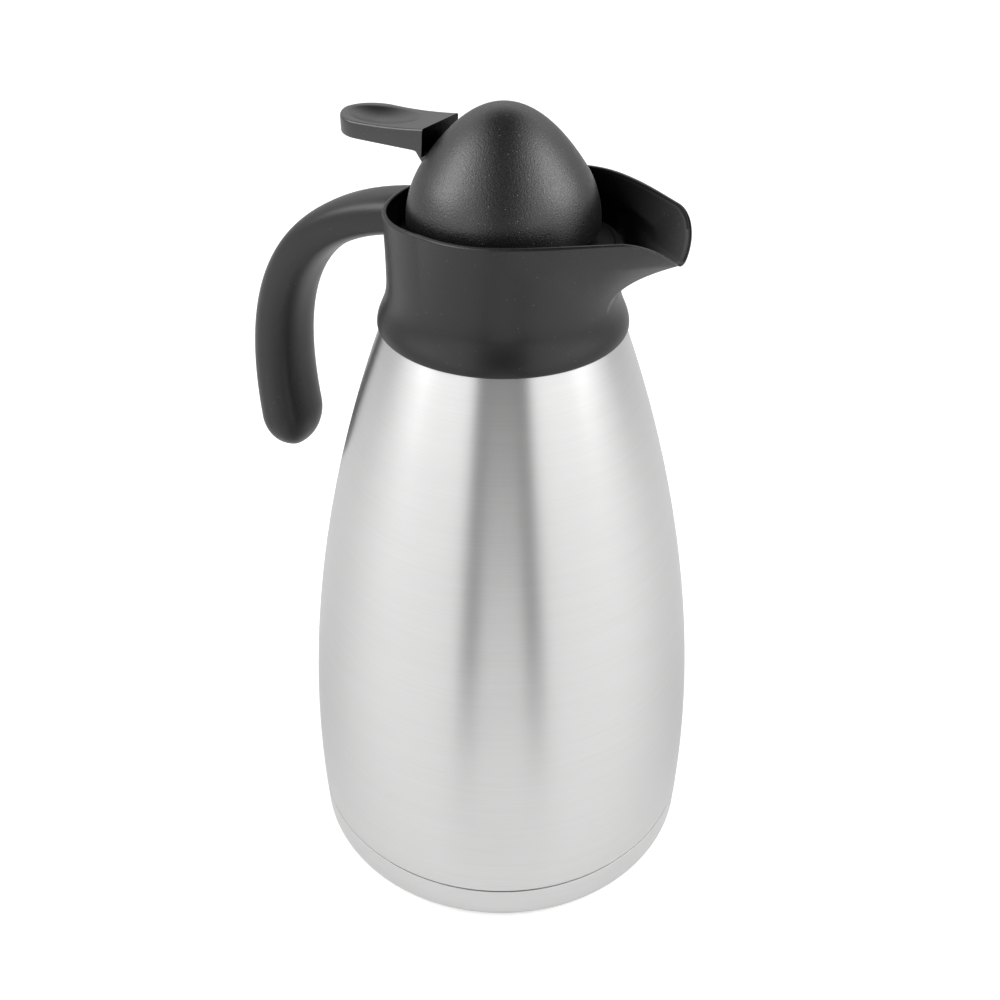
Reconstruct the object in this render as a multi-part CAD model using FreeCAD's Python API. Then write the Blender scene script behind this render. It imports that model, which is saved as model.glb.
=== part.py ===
import FreeCAD, Part
import math
import os

# An insulated steel jug: double-walled flask, moulded pouring collar, hooked handle, and a domed
# stopper whose thumb lever lifts a spring-loaded valve. Millimetres. The origin is on the axis of
# the body, on the table. The beak points along +X and the handle along -X.

# Steel flask
belly_radius = 67.0        # widest outside radius of the body
belly_height = 27.0        # height of the widest point
side_radius = 476.0        # the whole side is one long arc of this radius
neck_radius = 31.2         # outside of the steel neck
neck_length = 6.4          # straight neck above the shoulder
bead_proud = 0.5           # snap bead round the neck
bead_drop = 3.0            # bead below the mouth
shell_wall = 0.6
liner_wall = 0.5
vacuum_gap = 5.5           # between shell and liner at the side
neck_gap = 0.6             # between shell and liner at the neck
liner_floor = 36.0         # underside of the liner
liner_corner = 20.0        # outside radius between the liner's floor and side
liner_seam = 26.0          # weld between the liner and its bottom cup, above the floor

# Bottom of the flask
seam_height = 14.4         # joint between base cup and shell
cup_wall = 0.8
cup_edge = 4.0             # rounded bottom edge
standing_width = 10.0      # flat ring that stands on the table
recess_depth = 3.0         # raised middle of the base cup
spigot_rise = 5.0          # base cup's spigot inside the shell
spigot_root = 2.0          # thick root of that spigot
disc_wall = 0.8            # vacuum base
disc_flange = 5.0
dimple_radius = 12.0
dimple_rise = 3.0
evacuation_radius = 1.2
bead_radius = 5.0
bead_thickness = 1.6
pellet_radius = 4.0
pellet_thickness = 3.0
getter_offset = 28.0       # pellet's distance from the axis
clip_wall = 0.5
clip_width = 5.0
clip_foot = 4.0

# Collar and beak
gasket_thickness = 1.5
web_thickness = 2.5        # shelf between gasket and stopper flange
skirt_length = 12.9        # collar below the shoulder of the flask
skirt_edge = 0.6           # wall at the collar's lower edge
bulge_proud = 0.75         # swell above that edge
bulge_rise = 0.8
flare_power = 2.2          # above 1, the collar widens late between waist and swell
throat_step = 1.4          # collar's throat outside the steel neck
waist_wall = 1.6           # wall between throat and waist
waist_drop = 3.4           # waist below the stopper seat
rim_flare = 0.45           # rim outside the waist
collar_wall = 2.1          # wall at the rim
rim_rear = 10.1            # rim heights above the stopper seat
rim_side = 13.3
rim_wing = 16.4
wing_ahead = 10.55         # highest point of the beak's wings, ahead of the rim's circle
tip_ahead = 19.85          # tip of the beak, ahead of the rim's circle
tip_rise = 7.05            # tip above the stopper seat
beak_lean = 1.17           # reach that the front line gains per millimetre above the tip
beak_curve = 1.36          # above 1, the front line leaves the collar smoothly
beak_root_drop = 8.9       # below the stopper seat
beak_bulge = 2.95          # flanks bowed out by this at the wings
bulge_start = 5.6          # degrees from the beak's middle, where that bow starts
beak_tip_radius = 8.4
beak_wall = 2.4
tip_overrun = 7.2          # rim's fall carried past the beak's front line

# Handle
handle_end = 54.4          # free lower end behind the throat
handle_end_drop = 95.5     # free end below the stopper seat
handle_root_rise = 3.5     # root of the centre line above the stopper seat
handle_out = 38.4          # upper control point of the centre line, behind the throat
handle_out_drop = 3.0      # below the stopper seat
handle_back = 65.9         # lower control point
handle_back_drop = 27.0
handle_root_width = 19.0
handle_root_depth = 13.0
handle_grip_width = 24.0
handle_grip_depth = 16.5
handle_end_share = 0.07    # part of the centre line that the rounded end takes
handle_end_flat = 0.25     # share of the section left at the very end
handle_swell = 1.5         # above 1, the grip swells late
handle_square = 2.6        # 2 is an ellipse, more is squarer
key_length = 8.0           # collar's key inside the handle's root
key_width = 13.0
key_height = 8.5
screw_radius = 1.5
screw_head_radius = 3.0
screw_head_length = 1.5
screw_length = 19.0
screw_spacing = 7.0
screw_recess = 0.7

# Stopper
stopper_depth = 17.0       # cup below the stopper seat
stopper_wall = 2.0
stopper_floor = 2.5
flange_thickness = 2.0
seal_height = 3.0
seal_rise = 5.0            # above the stopper's underside
seal_groove = 1.2
ring_radius = 22.6         # ring wall that carries the dome
ring_wall = 2.0
ring_rise = 10.5           # above the flange
window_rise = 6.5
window_half_angle = 40.0
ledge_width = 1.4

# Dome
dome_rise = 38.5           # apex above the flange
dome_skirt_rise = 4.5      # lower edge above the flange
dome_knee_radius = 23.2    # parabola above, round shoulder below
dome_knee_drop = 17.45
dome_shoulder = 28.0
dome_wall = 2.0
dome_shelf_width = 3.0     # inner shelf that clamps the stem guide
dome_shelf_thickness = 2.0
slot_drop = 1.5            # floor of the lever's slot below the pin

# Valve
valve_hole_radius = 15.0
plug_overlap = 2.5         # plug beyond the valve hole
plug_thickness = 3.0
plug_hub_radius = 5.0
plug_hub_rise = 3.0
plug_boss_radius = 7.0
plug_boss_drop = 2.8
valve_seal_thickness = 1.5
stem_radius = 3.0
cap_radius = 5.5
cap_thickness = 2.5
cap_cover = 0.8            # cap above the stem's end
guide_thickness = 2.0
spring_radius = 6.5        # to the middle of the wire
spring_wire = 1.0
spring_turns = 6

# Lever
pivot_back = 14.0          # pin behind the axis
pivot_rise = 5.0           # pin above the stem guide
pin_radius = 1.5
boss_radius = 4.0
nose_radius = 2.5
arm_half_width = 5.5
lug_wall = 2.5
lug_half_length = 2.8
neck_half_width = 7.0
paddle_rise = 7.9          # paddle's underside above the pin
paddle_tip = 54.4          # paddle's end from the axis
paddle_tip_radius = 9.8
paddle_root_half_width = 9.0
paddle_root_top = 6.7      # paddle's upper face above its underside
paddle_middle_top = 5.2
paddle_tip_top = 4.9
paddle_skirt = 1.4         # end face below the paddle's underside
neck_root = 4.0            # neck's depth along the paddle
dish_reach = 44.8          # thumb dish from the axis
dish_half_length = 10.0
dish_half_width = 7.6
dish_depth = 1.7
lever_turn = 16.0          # degrees

# Clearances
fit = 0.05                 # pressed, welded or bonded pieces
running = 0.08             # pin and stem in their bores
clear = 0.3                # curved faces of pieces that move past each other
room = 0.4                 # sides of moving pieces

Vector = FreeCAD.Vector
origin = Vector(0, 0, 0)
axis = Vector(0, 0, 1)


def radius_on_side(height, depth):
    """Radius of the flask's side at a height, moved inwards by depth."""
    rise = height - belly_height
    return belly_radius - side_radius + math.sqrt((side_radius - depth) ** 2 - rise ** 2)


def height_on_side(radius, depth):
    """Height above the belly where the side, moved inwards by depth, has this radius."""
    run = radius - belly_radius + side_radius
    return belly_height + math.sqrt((side_radius - depth) ** 2 - run ** 2)


# Radii and reaches that follow from the sizes above
throat_radius = neck_radius + throat_step
waist_radius = throat_radius + waist_wall
rim_radius = waist_radius + rim_flare
wing_reach = rim_radius + wing_ahead
tip_reach = rim_radius + tip_ahead

# Levels that follow from the sizes above
shoulder = height_on_side(neck_radius, 0.0)
mouth = shoulder + neck_length
gasket_bottom = mouth + liner_wall
web_bottom = gasket_bottom + gasket_thickness
seat = web_bottom + web_thickness
flange_top = seat + flange_thickness
ring_top = flange_top + ring_rise
guide_bottom = ring_top - guide_thickness
stopper_bottom = seat - stopper_depth
valve_seat = stopper_bottom + stopper_floor
plug_bottom = valve_seat + valve_seal_thickness
plug_top = plug_bottom + plug_thickness
dome_top = flange_top + dome_rise
dome_bottom = flange_top + dome_skirt_rise
pivot_height = ring_top + pivot_rise
cap_bottom = pivot_height + nose_radius + clear
stem_top = cap_bottom + cap_thickness - cap_cover
paddle_bottom = pivot_height + paddle_rise
skirt_bottom = shoulder - skirt_length
rim_top = seat + rim_wing
liner_depth = shell_wall + vacuum_gap
liner_neck = neck_radius - shell_wall - neck_gap
bore_radius = liner_neck - liner_wall
cup_radius = bore_radius - clear - seal_groove + room
disc_bottom = seam_height + spigot_rise
disc_top = disc_bottom + disc_flange


def point(x, z):
    """A point of the XZ plane."""
    return Vector(x, 0, z)


def line(start, end):
    """Straight edge between two points of the XZ plane."""
    return Part.LineSegment(point(*start), point(*end)).toShape()


def arc(start, middle, end):
    """Round edge through three points of the XZ plane."""
    return Part.Arc(point(*start), point(*middle), point(*end)).toShape()


def polygon(corners):
    """Closed face with straight edges in the XZ plane."""
    points = [point(*corner) for corner in corners]
    return Part.Face(Part.makePolygon(points + points[:1]))


def spun(edges):
    """Solid of revolution of a closed outline in the XZ plane."""
    return Part.Face(Part.Wire(edges)).revolve(origin, axis, 360)


def ring(inner, outer, bottom, top):
    """Plain round ring about the axis."""
    outside = Part.makeCylinder(outer, top - bottom, Vector(0, 0, bottom))
    return outside.cut(Part.makeCylinder(inner, top - bottom, Vector(0, 0, bottom)))


def across(face, half_width):
    """Solid of an XZ face, as wide as twice half_width along Y."""
    moved = face.copy()
    moved.translate(Vector(0, -half_width, 0))
    return moved.extrude(Vector(0, 2 * half_width, 0))


def bar(x, z, radius, half_width):
    """Round bar along Y."""
    return Part.makeCylinder(radius, 2 * half_width, Vector(x, -half_width, z), Vector(0, 1, 0))


def block(low, high):
    """Box between two corners."""
    size = high - low
    return Part.makeBox(size.x, size.y, size.z, low)


def level_edges(shape, height):
    """Edges that lie at one height."""
    level = 1e-4
    return [edge for edge in shape.Edges
            if abs(edge.BoundBox.ZMin - height) < level and abs(edge.BoundBox.ZMax - height) < level]


def flask_block(depth, bottom, neck, top):
    """Everything inside the flask's outline, moved inwards by depth, with a straight neck."""
    crossing = height_on_side(neck, depth)
    halfway = (bottom + crossing) / 2
    low = (radius_on_side(bottom, depth), bottom)
    middle = (radius_on_side(halfway, depth), halfway)
    high = (neck, crossing)
    return spun([
        line((0, bottom), low),
        arc(low, middle, high),
        line(high, (neck, top)),
        line((neck, top), (0, top)),
        line((0, top), (0, bottom)),
    ])


def neck_bead(extra):
    """Round snap bead on the neck, grown by extra."""
    height = mouth - bead_drop
    half = 2 * bead_proud + extra
    low = (neck_radius - shell_wall / 2, height - half)
    high = (neck_radius - shell_wall / 2, height + half)
    return spun([
        arc(low, (neck_radius + bead_proud + extra, height), high),
        line(high, low),
    ])


def make_outer_shell():
    shell = flask_block(0.0, seam_height, neck_radius, mouth).fuse(neck_bead(0.0))
    hollow = flask_block(shell_wall, seam_height - 1, neck_radius - shell_wall, mouth + 1)
    return shell.cut(hollow)


def liner_bottle():
    """The whole inner bottle, before it is parted at its weld."""
    outside = flask_block(liner_depth, liner_floor, liner_neck, mouth)
    outside = outside.makeFillet(liner_corner, level_edges(outside, liner_floor))
    inner_floor = liner_floor + liner_wall
    inside = flask_block(liner_depth + liner_wall, inner_floor, bore_radius, mouth)
    inside = inside.makeFillet(liner_corner - liner_wall, level_edges(inside, inner_floor))
    lip = ring(bore_radius, neck_radius, mouth, gasket_bottom)
    return outside.cut(inside).fuse(lip).removeSplitter()


def make_inner_liner():
    below = Part.makeCylinder(belly_radius, liner_seam, Vector(0, 0, liner_floor))
    return liner_bottle().cut(below)


def make_liner_cup():
    above = Part.makeCylinder(belly_radius, mouth, Vector(0, 0, liner_floor + liner_seam - fit))
    return liner_bottle().cut(above)


def make_base_cup():
    spigot_depth = shell_wall + fit
    outside = flask_block(0.0, 0.0, neck_radius, mouth)
    outside = outside.makeFillet(cup_edge, level_edges(outside, 0.0))
    above = Part.makeCylinder(2 * belly_radius, mouth, Vector(0, 0, seam_height))
    wall = outside.cut(above)
    hollow = flask_block(cup_wall, cup_wall, neck_radius, mouth)
    hollow = hollow.makeFillet(cup_edge - cup_wall, level_edges(hollow, cup_wall))
    spigot_bottom = seam_height - spigot_root
    spigot = flask_block(spigot_depth, spigot_bottom, neck_radius - spigot_depth, mouth)
    spigot = spigot.cut(Part.makeCylinder(2 * belly_radius, mouth, Vector(0, 0, disc_bottom)))
    inside = flask_block(spigot_depth + cup_wall, cup_wall, neck_radius, mouth)
    root = flask_block(cup_wall / 2, spigot_bottom, neck_radius, mouth).cut(above)
    cup = wall.cut(hollow).fuse(root.cut(inside)).fuse(spigot.cut(inside))
    ring_inner = radius_on_side(0.0, 0.0) - cup_edge - standing_width
    recess = Part.makeCone(ring_inner, ring_inner - recess_depth, recess_depth)
    raised = Part.makeCone(ring_inner + cup_wall, ring_inner + cup_wall - recess_depth, recess_depth)
    plate = Part.makeCylinder(ring_inner + cup_wall - recess_depth, cup_wall, Vector(0, 0, recess_depth))
    return cup.fuse(raised).fuse(plate).cut(recess).removeSplitter()


def make_vacuum_base():
    depth = shell_wall + fit
    outside = flask_block(depth, disc_bottom, neck_radius - depth, mouth)
    outside = outside.cut(Part.makeCylinder(2 * belly_radius, mouth, Vector(0, 0, disc_top)))
    hollow = flask_block(depth + disc_wall, disc_bottom, neck_radius - depth, mouth)
    hollow = hollow.cut(Part.makeCylinder(2 * belly_radius, mouth, Vector(0, 0, disc_top - disc_wall)))
    dome = Part.makeCylinder(dimple_radius, dimple_rise, Vector(0, 0, disc_top))
    under = Part.makeCylinder(dimple_radius - disc_wall, dimple_rise, Vector(0, 0, disc_top - disc_wall))
    hole = Part.makeCylinder(evacuation_radius, dimple_rise + disc_flange, Vector(0, 0, disc_bottom))
    return outside.cut(hollow).fuse(dome).cut(under).cut(hole).removeSplitter()


def make_seal_bead():
    top = disc_top + dimple_rise - disc_wall
    radius = (bead_radius ** 2 + bead_thickness ** 2) / (2 * bead_thickness)
    drop = Part.makeSphere(radius, Vector(0, 0, top - bead_thickness + radius))
    return drop.common(Part.makeCylinder(bead_radius, bead_thickness, Vector(0, 0, top - bead_thickness)))


def make_getter_pellet():
    return Part.makeCylinder(pellet_radius, pellet_thickness, Vector(getter_offset, 0, disc_top))


def make_getter_clip():
    inner = pellet_radius + fit
    outer = inner + clip_wall
    low = disc_top
    high = disc_top + pellet_thickness
    corners = [
        (-outer - clip_foot, low), (-inner, low), (-inner, high), (inner, high),
        (inner, low), (outer + clip_foot, low), (outer + clip_foot, low + clip_wall),
        (outer, low + clip_wall), (outer, high + clip_wall), (-outer, high + clip_wall),
        (-outer, low + clip_wall), (-outer - clip_foot, low + clip_wall),
    ]
    strap = across(polygon(corners), clip_width / 2)
    strap.translate(Vector(getter_offset, 0, 0))
    return strap


def make_neck_gasket():
    return ring(bore_radius + clear, neck_radius, gasket_bottom, web_bottom)


def collar_radius(height):
    """Outside radius of the round collar: swell at the skirt, then the waist, then the flare."""
    edge = radius_on_side(skirt_bottom, 0.0) + skirt_edge
    bulge = edge + bulge_proud
    bulge_height = skirt_bottom + bulge_rise
    waist_height = seat - waist_drop
    if height < bulge_height:
        share = (bulge_height - height) / bulge_rise
        return edge + bulge_proud * math.sqrt(max(0.0, 1 - share ** 2))
    if height < waist_height:
        share = ((waist_height - height) / (waist_height - bulge_height)) ** flare_power
        return waist_radius + (bulge - waist_radius) * (1 - math.cos(math.pi * share)) / 2
    share = (height - waist_height) / (seat + rim_side - waist_height)
    return waist_radius + (rim_radius - waist_radius) * share ** 2


def beak_reach(height):
    """Reach of the beak's front line: it leaves the collar smoothly, and leans out evenly above the tip."""
    out = tip_reach - collar_radius(seat + tip_rise)
    share = (height - seat + beak_root_drop) / (tip_rise + beak_root_drop)
    if share < 1:
        return collar_radius(height) + out * max(0.0, share) ** beak_curve
    return collar_radius(height) + out + beak_lean * (height - seat - tip_rise)


def section_radius(angle, height, inset, round_radius):
    """Distance from the axis to the collar's skin: a circle drawn out to a round tip.

    The flanks touch the circle and the tip, and bow outwards more towards the wings.
    """
    turn = abs(angle)
    reach = max(round_radius, beak_reach(height) - inset)
    tip = beak_tip_radius - inset / 2
    centre = reach - tip
    normal = math.acos(min(1.0, (round_radius - tip) / centre))
    touch = math.atan2(tip * math.sin(normal), centre + tip * math.cos(normal))
    rise = max(0.0, (height - seat + beak_root_drop) / (rim_wing + beak_root_drop))
    start = math.radians(bulge_start)
    share = min(1.0, max(0.0, (turn - start) / (math.pi / 2 - start)))
    bow = beak_bulge * rise * (4 * share * (1 - share)) ** 1.5
    if turn >= normal:
        return round_radius + bow
    if turn >= touch:
        return round_radius / math.cos(turn - normal) + bow
    return centre * math.cos(turn) + math.sqrt(tip ** 2 - (centre * math.sin(turn)) ** 2) + bow


def closed_curve(points):
    """Smooth closed wire through points, with the same even spacing on every wire."""
    curve = Part.BSplineCurve()
    curve.interpolate(Points=points, PeriodicFlag=True, Parameters=list(range(len(points) + 1)))
    return Part.Wire(curve.toShape())


def skin(heights, inset, grow, radius_at):
    """Solid lofted through level sections of the collar."""
    steps = 60
    wires = []
    for height in heights:
        points = []
        for step in range(steps):
            angle = 2 * math.pi * step / steps - math.pi
            reach = section_radius(angle, height, inset, radius_at(height)) + grow
            points.append(Vector(reach * math.cos(angle), reach * math.sin(angle), height))
        wires.append(closed_curve(points))
    return Part.makeLoft(wires, True, False)


def spaced(low, high, count):
    """Evenly spaced heights, both ends included."""
    return [low + (high - low) * step / (count - 1) for step in range(count)]


def collar_heights():
    """Levels of the outer skin: close together on the swell, wider above it."""
    bulge_height = skirt_bottom + bulge_rise
    swell_steps = 2
    upper_steps = 13
    turns = [math.pi / 2 * step / swell_steps for step in range(swell_steps)]
    swell = [skirt_bottom + bulge_rise * (1 - math.cos(turn)) for turn in turns]
    return swell + spaced(bulge_height, rim_top + collar_wall, upper_steps)


def rim_cutters():
    """Everything above the rim's curve, seen from the side: a slow rise, then the fall to the tip."""
    rear = (-rim_radius - collar_wall, seat + rim_rear)
    side = (0, seat + rim_side)
    wing = (wing_reach, rim_top)
    tip = (tip_reach, seat + tip_rise)
    past = (tip_reach, seat + tip_rise - tip_overrun)
    eighth = math.sqrt(0.5)
    bend = (wing[0] + (tip[0] - wing[0]) * eighth, tip[1] + (wing[1] - tip[1]) * eighth)
    right = 2 * tip_reach
    top = rim_top + dome_rise
    ceiling = (wing[0], top)
    rise = [arc(rear, side, wing), line(wing, ceiling), line(ceiling, (rear[0], top)),
            line((rear[0], top), rear)]
    fall = [arc(wing, bend, past), line(past, (right, past[1])), line((right, past[1]), (right, top)),
            line((right, top), ceiling), line(ceiling, wing)]
    return [across(Part.Face(Part.Wire(edges)), 2 * rim_radius) for edges in (rise, fall)]


def throat(height):
    """Inside radius of the collar above the stopper seat."""
    share = (height - seat) / rim_side
    return throat_radius + (rim_radius - collar_wall - throat_radius) * share


def key_block(extra):
    """Key at the back of the collar that the handle's root fits over."""
    back = collar_radius(seat + handle_root_rise) + key_length
    centre = seat + handle_root_rise
    low = Vector(-back - extra, -key_width / 2 - extra, centre - key_height / 2 - extra)
    high = Vector(-throat_radius, key_width / 2 + extra, centre + key_height / 2 + extra)
    return block(low, high)


def screw_places():
    """Middle of each screw's head face, in the collar's throat."""
    height = seat + handle_root_rise
    face = -throat(height) - screw_recess
    return [Vector(face, side * screw_spacing / 2, height) for side in (-1, 1)]


def screw(place, extra):
    """Countersunk screw that points backwards from its head face, grown by extra."""
    back = Vector(-1, 0, 0)
    head = Part.makeCone(screw_head_radius + extra, screw_radius + extra, screw_head_length, place, back)
    shank = Part.makeCylinder(screw_radius + extra, screw_length + extra, place, back)
    return head.fuse(shank)


def screw_hole(place):
    """Hole for one screw, with a way in for its head."""
    forward = Vector(1, 0, 0)
    entry = Part.makeCylinder(screw_head_radius + fit, throat_radius, place, forward)
    return screw(place, fit).fuse(entry)


def make_collar():
    outside = skin(collar_heights(), 0.0, 0.0, collar_radius)
    inside = skin(spaced(seat, rim_top + collar_wall + 1, 9), beak_wall, 0.0, throat)
    collar = outside.fuse(key_block(0.0)).cut(inside)
    collar = collar.cut(flask_block(-fit, skirt_bottom - 1, neck_radius + fit, web_bottom))
    collar = collar.cut(neck_bead(fit))
    mouth_hole = Part.makeCylinder(bore_radius + clear, seat - mouth, Vector(0, 0, mouth))
    collar = collar.cut(mouth_hole)
    for cutter in rim_cutters():
        collar = collar.cut(cutter)
    for place in screw_places():
        collar = collar.cut(screw_hole(place))
    return collar


def handle_point(share):
    """Point and direction of the handle's centre line, a cubic curve from root to free end."""
    poles = [
        point(-throat_radius, seat + handle_root_rise),
        point(-throat_radius - handle_out, seat - handle_out_drop),
        point(-throat_radius - handle_back, seat - handle_back_drop),
        point(-throat_radius - handle_end, seat - handle_end_drop),
    ]
    rest = 1 - share
    weights = (rest ** 3, 3 * rest ** 2 * share, 3 * rest * share ** 2, share ** 3)
    slopes = (-rest ** 2, rest ** 2 - 2 * rest * share, 2 * rest * share - share ** 2, share ** 2)
    place = sum((pole * weight for pole, weight in zip(poles, weights)), Vector())
    along = sum((pole * slope for pole, slope in zip(poles, slopes)), Vector())
    return place, along.normalize()


def make_handle():
    steps = 36
    grip_steps = 10
    end_steps = 4
    shares = [step / grip_steps for step in range(grip_steps - 1)]
    turns = [math.pi / 2 * step / end_steps for step in range(end_steps + 1)]
    shares += [1 - handle_end_share * (1 - math.sin(turn)) for turn in turns]
    wires = []
    for share in shares:
        place, along = handle_point(share)
        normal = Vector(along.z, 0, -along.x)
        swell = share ** handle_swell
        width = handle_root_width + (handle_grip_width - handle_root_width) * swell
        depth = handle_root_depth + (handle_grip_depth - handle_root_depth) * swell
        past = max(0.0, 1 - (1 - share) / handle_end_share)
        close = handle_end_flat + (1 - handle_end_flat) * math.sqrt(max(0.0, 1 - past ** 2))
        points = []
        for step in range(steps):
            turn = 2 * math.pi * step / steps
            c = math.cos(turn)
            s = math.sin(turn)
            across_part = math.copysign(abs(c) ** (2 / handle_square), c) * width / 2 * close
            depth_part = math.copysign(abs(s) ** (2 / handle_square), s) * depth / 2 * close
            points.append(place + Vector(0, across_part, 0) + normal * depth_part)
        wires.append(closed_curve(points))
    handle = Part.makeLoft(wires, True, False)
    handle = handle.cut(skin(collar_heights(), 0.0, fit, collar_radius))
    handle = handle.cut(key_block(fit))
    for place in screw_places():
        handle = handle.cut(screw(place, fit))
    return handle


def make_handle_screws():
    return Part.makeCompound([screw(place, 0.0) for place in screw_places()])


def make_stopper():
    inner = cup_radius - stopper_wall
    cup = ring(inner, cup_radius, stopper_bottom, seat)
    floor = ring(valve_hole_radius, cup_radius, stopper_bottom, valve_seat)
    flange = ring(ring_radius - ring_wall, throat_radius - room, seat, flange_top)
    wall = ring(ring_radius - ring_wall, ring_radius, flange_top, ring_top)
    ledge = ring(ring_radius - ring_wall - ledge_width, ring_radius, guide_bottom - ring_wall, guide_bottom)
    stopper = cup.fuse(floor).fuse(flange).fuse(wall).fuse(ledge).removeSplitter()
    groove_bottom = stopper_bottom + seal_rise
    groove = ring(cup_radius - seal_groove, cup_radius + 1, groove_bottom, groove_bottom + seal_height)
    wedge = math.tan(math.radians(window_half_angle)) * 2 * ring_radius
    outline = [Vector(0, 0, flange_top), Vector(2 * ring_radius, -wedge, flange_top),
               Vector(2 * ring_radius, wedge, flange_top)]
    window = Part.Face(Part.makePolygon(outline + outline[:1])).extrude(Vector(0, 0, window_rise))
    return stopper.cut(groove).cut(window)


def make_stopper_seal():
    low = stopper_bottom + seal_rise + fit
    high = low + seal_height - 2 * fit
    inner = cup_radius - seal_groove + fit
    outer = bore_radius - clear
    body = cup_radius - fit
    middle = (low + high) / 2
    return spun([
        line((inner, low), (body, low)),
        line((body, low), (outer, middle - fit)),
        line((outer, middle - fit), (outer, middle + fit)),
        line((outer, middle + fit), (body, high)),
        line((body, high), (inner, high)),
        line((inner, high), (inner, low)),
    ])


def make_stem_guide():
    guide = Part.makeCylinder(ring_radius - ring_wall - fit, guide_thickness, Vector(0, 0, guide_bottom))
    inner = arm_half_width + room
    for side in (-1, 1):
        middle = side * (inner + lug_wall / 2)
        low = Vector(-pivot_back - lug_half_length, middle - lug_wall / 2, ring_top)
        high = Vector(-pivot_back + lug_half_length, middle + lug_wall / 2, pivot_height)
        lug = block(low, high)
        centre = Vector(-pivot_back, low.y, pivot_height)
        head = Part.makeCylinder(lug_half_length, lug_wall, centre, Vector(0, 1, 0))
        guide = guide.fuse(lug).fuse(head)
    guide = guide.cut(bar(-pivot_back, pivot_height, pin_radius + fit, ring_radius))
    hole = Part.makeCylinder(stem_radius + running, guide_thickness, Vector(0, 0, guide_bottom))
    return guide.cut(hole).removeSplitter()


def make_lever_pin():
    return bar(-pivot_back, pivot_height, pin_radius, arm_half_width + room + lug_wall)


def dome_profile(inset):
    """Outline of the dome, moved inwards by inset: a parabola, then a tangent round shoulder."""
    knee_height = dome_top - dome_knee_drop
    tilt = math.atan2(dome_knee_radius, 2 * dome_knee_drop)
    normal = (math.cos(tilt), math.sin(tilt))
    centre = (dome_knee_radius - dome_shoulder * normal[0], knee_height - dome_shoulder * normal[1])
    radius = dome_shoulder - inset
    knee = (centre[0] + radius * normal[0], centre[1] + radius * normal[1])
    apex = dome_top - inset
    crown = Part.BezierCurve()
    crown.setPoles([point(0, apex), point(knee[0] / 2, apex), point(*knee)])
    below = centre[1] - dome_bottom
    edge = (centre[0] + math.sqrt(radius ** 2 - below ** 2), dome_bottom)
    widest = (centre[0] + radius, centre[1])
    return [
        crown.toShape(),
        arc(knee, widest, edge),
        line(edge, (0, dome_bottom)),
        line((0, dome_bottom), (0, apex)),
    ]


def dome_back(height):
    """Distance behind the axis of the dome's skin at the edge of its slot."""
    radius = dome_knee_radius * math.sqrt((dome_top - height) / dome_knee_drop)
    return math.sqrt(radius ** 2 - (neck_half_width + room) ** 2)


def make_dome():
    shell = spun(dome_profile(0.0)).cut(spun(dome_profile(dome_wall)))
    shelf_inner = ring_radius - dome_shelf_width
    shelf = ring(shelf_inner, belly_radius, ring_top, ring_top + dome_shelf_thickness)
    shelf = shelf.common(spun(dome_profile(dome_wall / 2)))
    low = Vector(-belly_radius, -neck_half_width - room, pivot_height - slot_drop)
    high = Vector(-pivot_back, neck_half_width + room, paddle_bottom + room)
    return shell.fuse(shelf).cut(block(low, high)).removeSplitter()


def paddle_plan():
    """Paddle seen from above: a round end and two straight sides."""
    centre = -(paddle_tip - paddle_tip_radius)
    root = -dome_back(paddle_bottom) - 2 * room
    reach = root - centre
    distance = math.hypot(reach, paddle_root_half_width)
    lean = math.atan2(paddle_root_half_width, reach) + math.acos(paddle_tip_radius / distance)
    touch = (centre + paddle_tip_radius * math.cos(lean), paddle_tip_radius * math.sin(lean))
    corners = [Vector(root, -paddle_root_half_width, 0), Vector(touch[0], -touch[1], 0),
               Vector(-paddle_tip, 0, 0), Vector(touch[0], touch[1], 0),
               Vector(root, paddle_root_half_width, 0)]
    outline = Part.Wire([
        Part.LineSegment(corners[0], corners[1]).toShape(),
        Part.Arc(corners[1], corners[2], corners[3]).toShape(),
        Part.LineSegment(corners[3], corners[4]).toShape(),
        Part.LineSegment(corners[4], corners[0]).toShape(),
    ])
    plan = Part.Face(outline)
    plan.translate(Vector(0, 0, paddle_bottom - paddle_skirt))
    return plan.extrude(Vector(0, 0, paddle_skirt + 2 * paddle_root_top))


def thumb_dish():
    """Oval hollow for the thumb: a long lens turned about an axis that lies above the paddle."""
    across_radius = (dish_half_width ** 2 + dish_depth ** 2) / (2 * dish_depth)
    along_radius = (dish_half_length ** 2 + dish_depth ** 2) / (2 * dish_depth)
    low = paddle_bottom + paddle_middle_top - dish_depth
    height = low + across_radius
    reach = 2 * dish_half_length
    rise = along_radius - math.sqrt(along_radius ** 2 - reach ** 2)
    left, right = -dish_reach - reach, -dish_reach + reach
    half = Part.Face(Part.Wire([
        arc((left, low + rise), (-dish_reach, low), (right, low + rise)),
        line((right, low + rise), (right, height)),
        line((right, height), (left, height)),
        line((left, height), (left, low + rise)),
    ]))
    return half.revolve(Vector(0, 0, height), Vector(1, 0, 0), 360)


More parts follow.
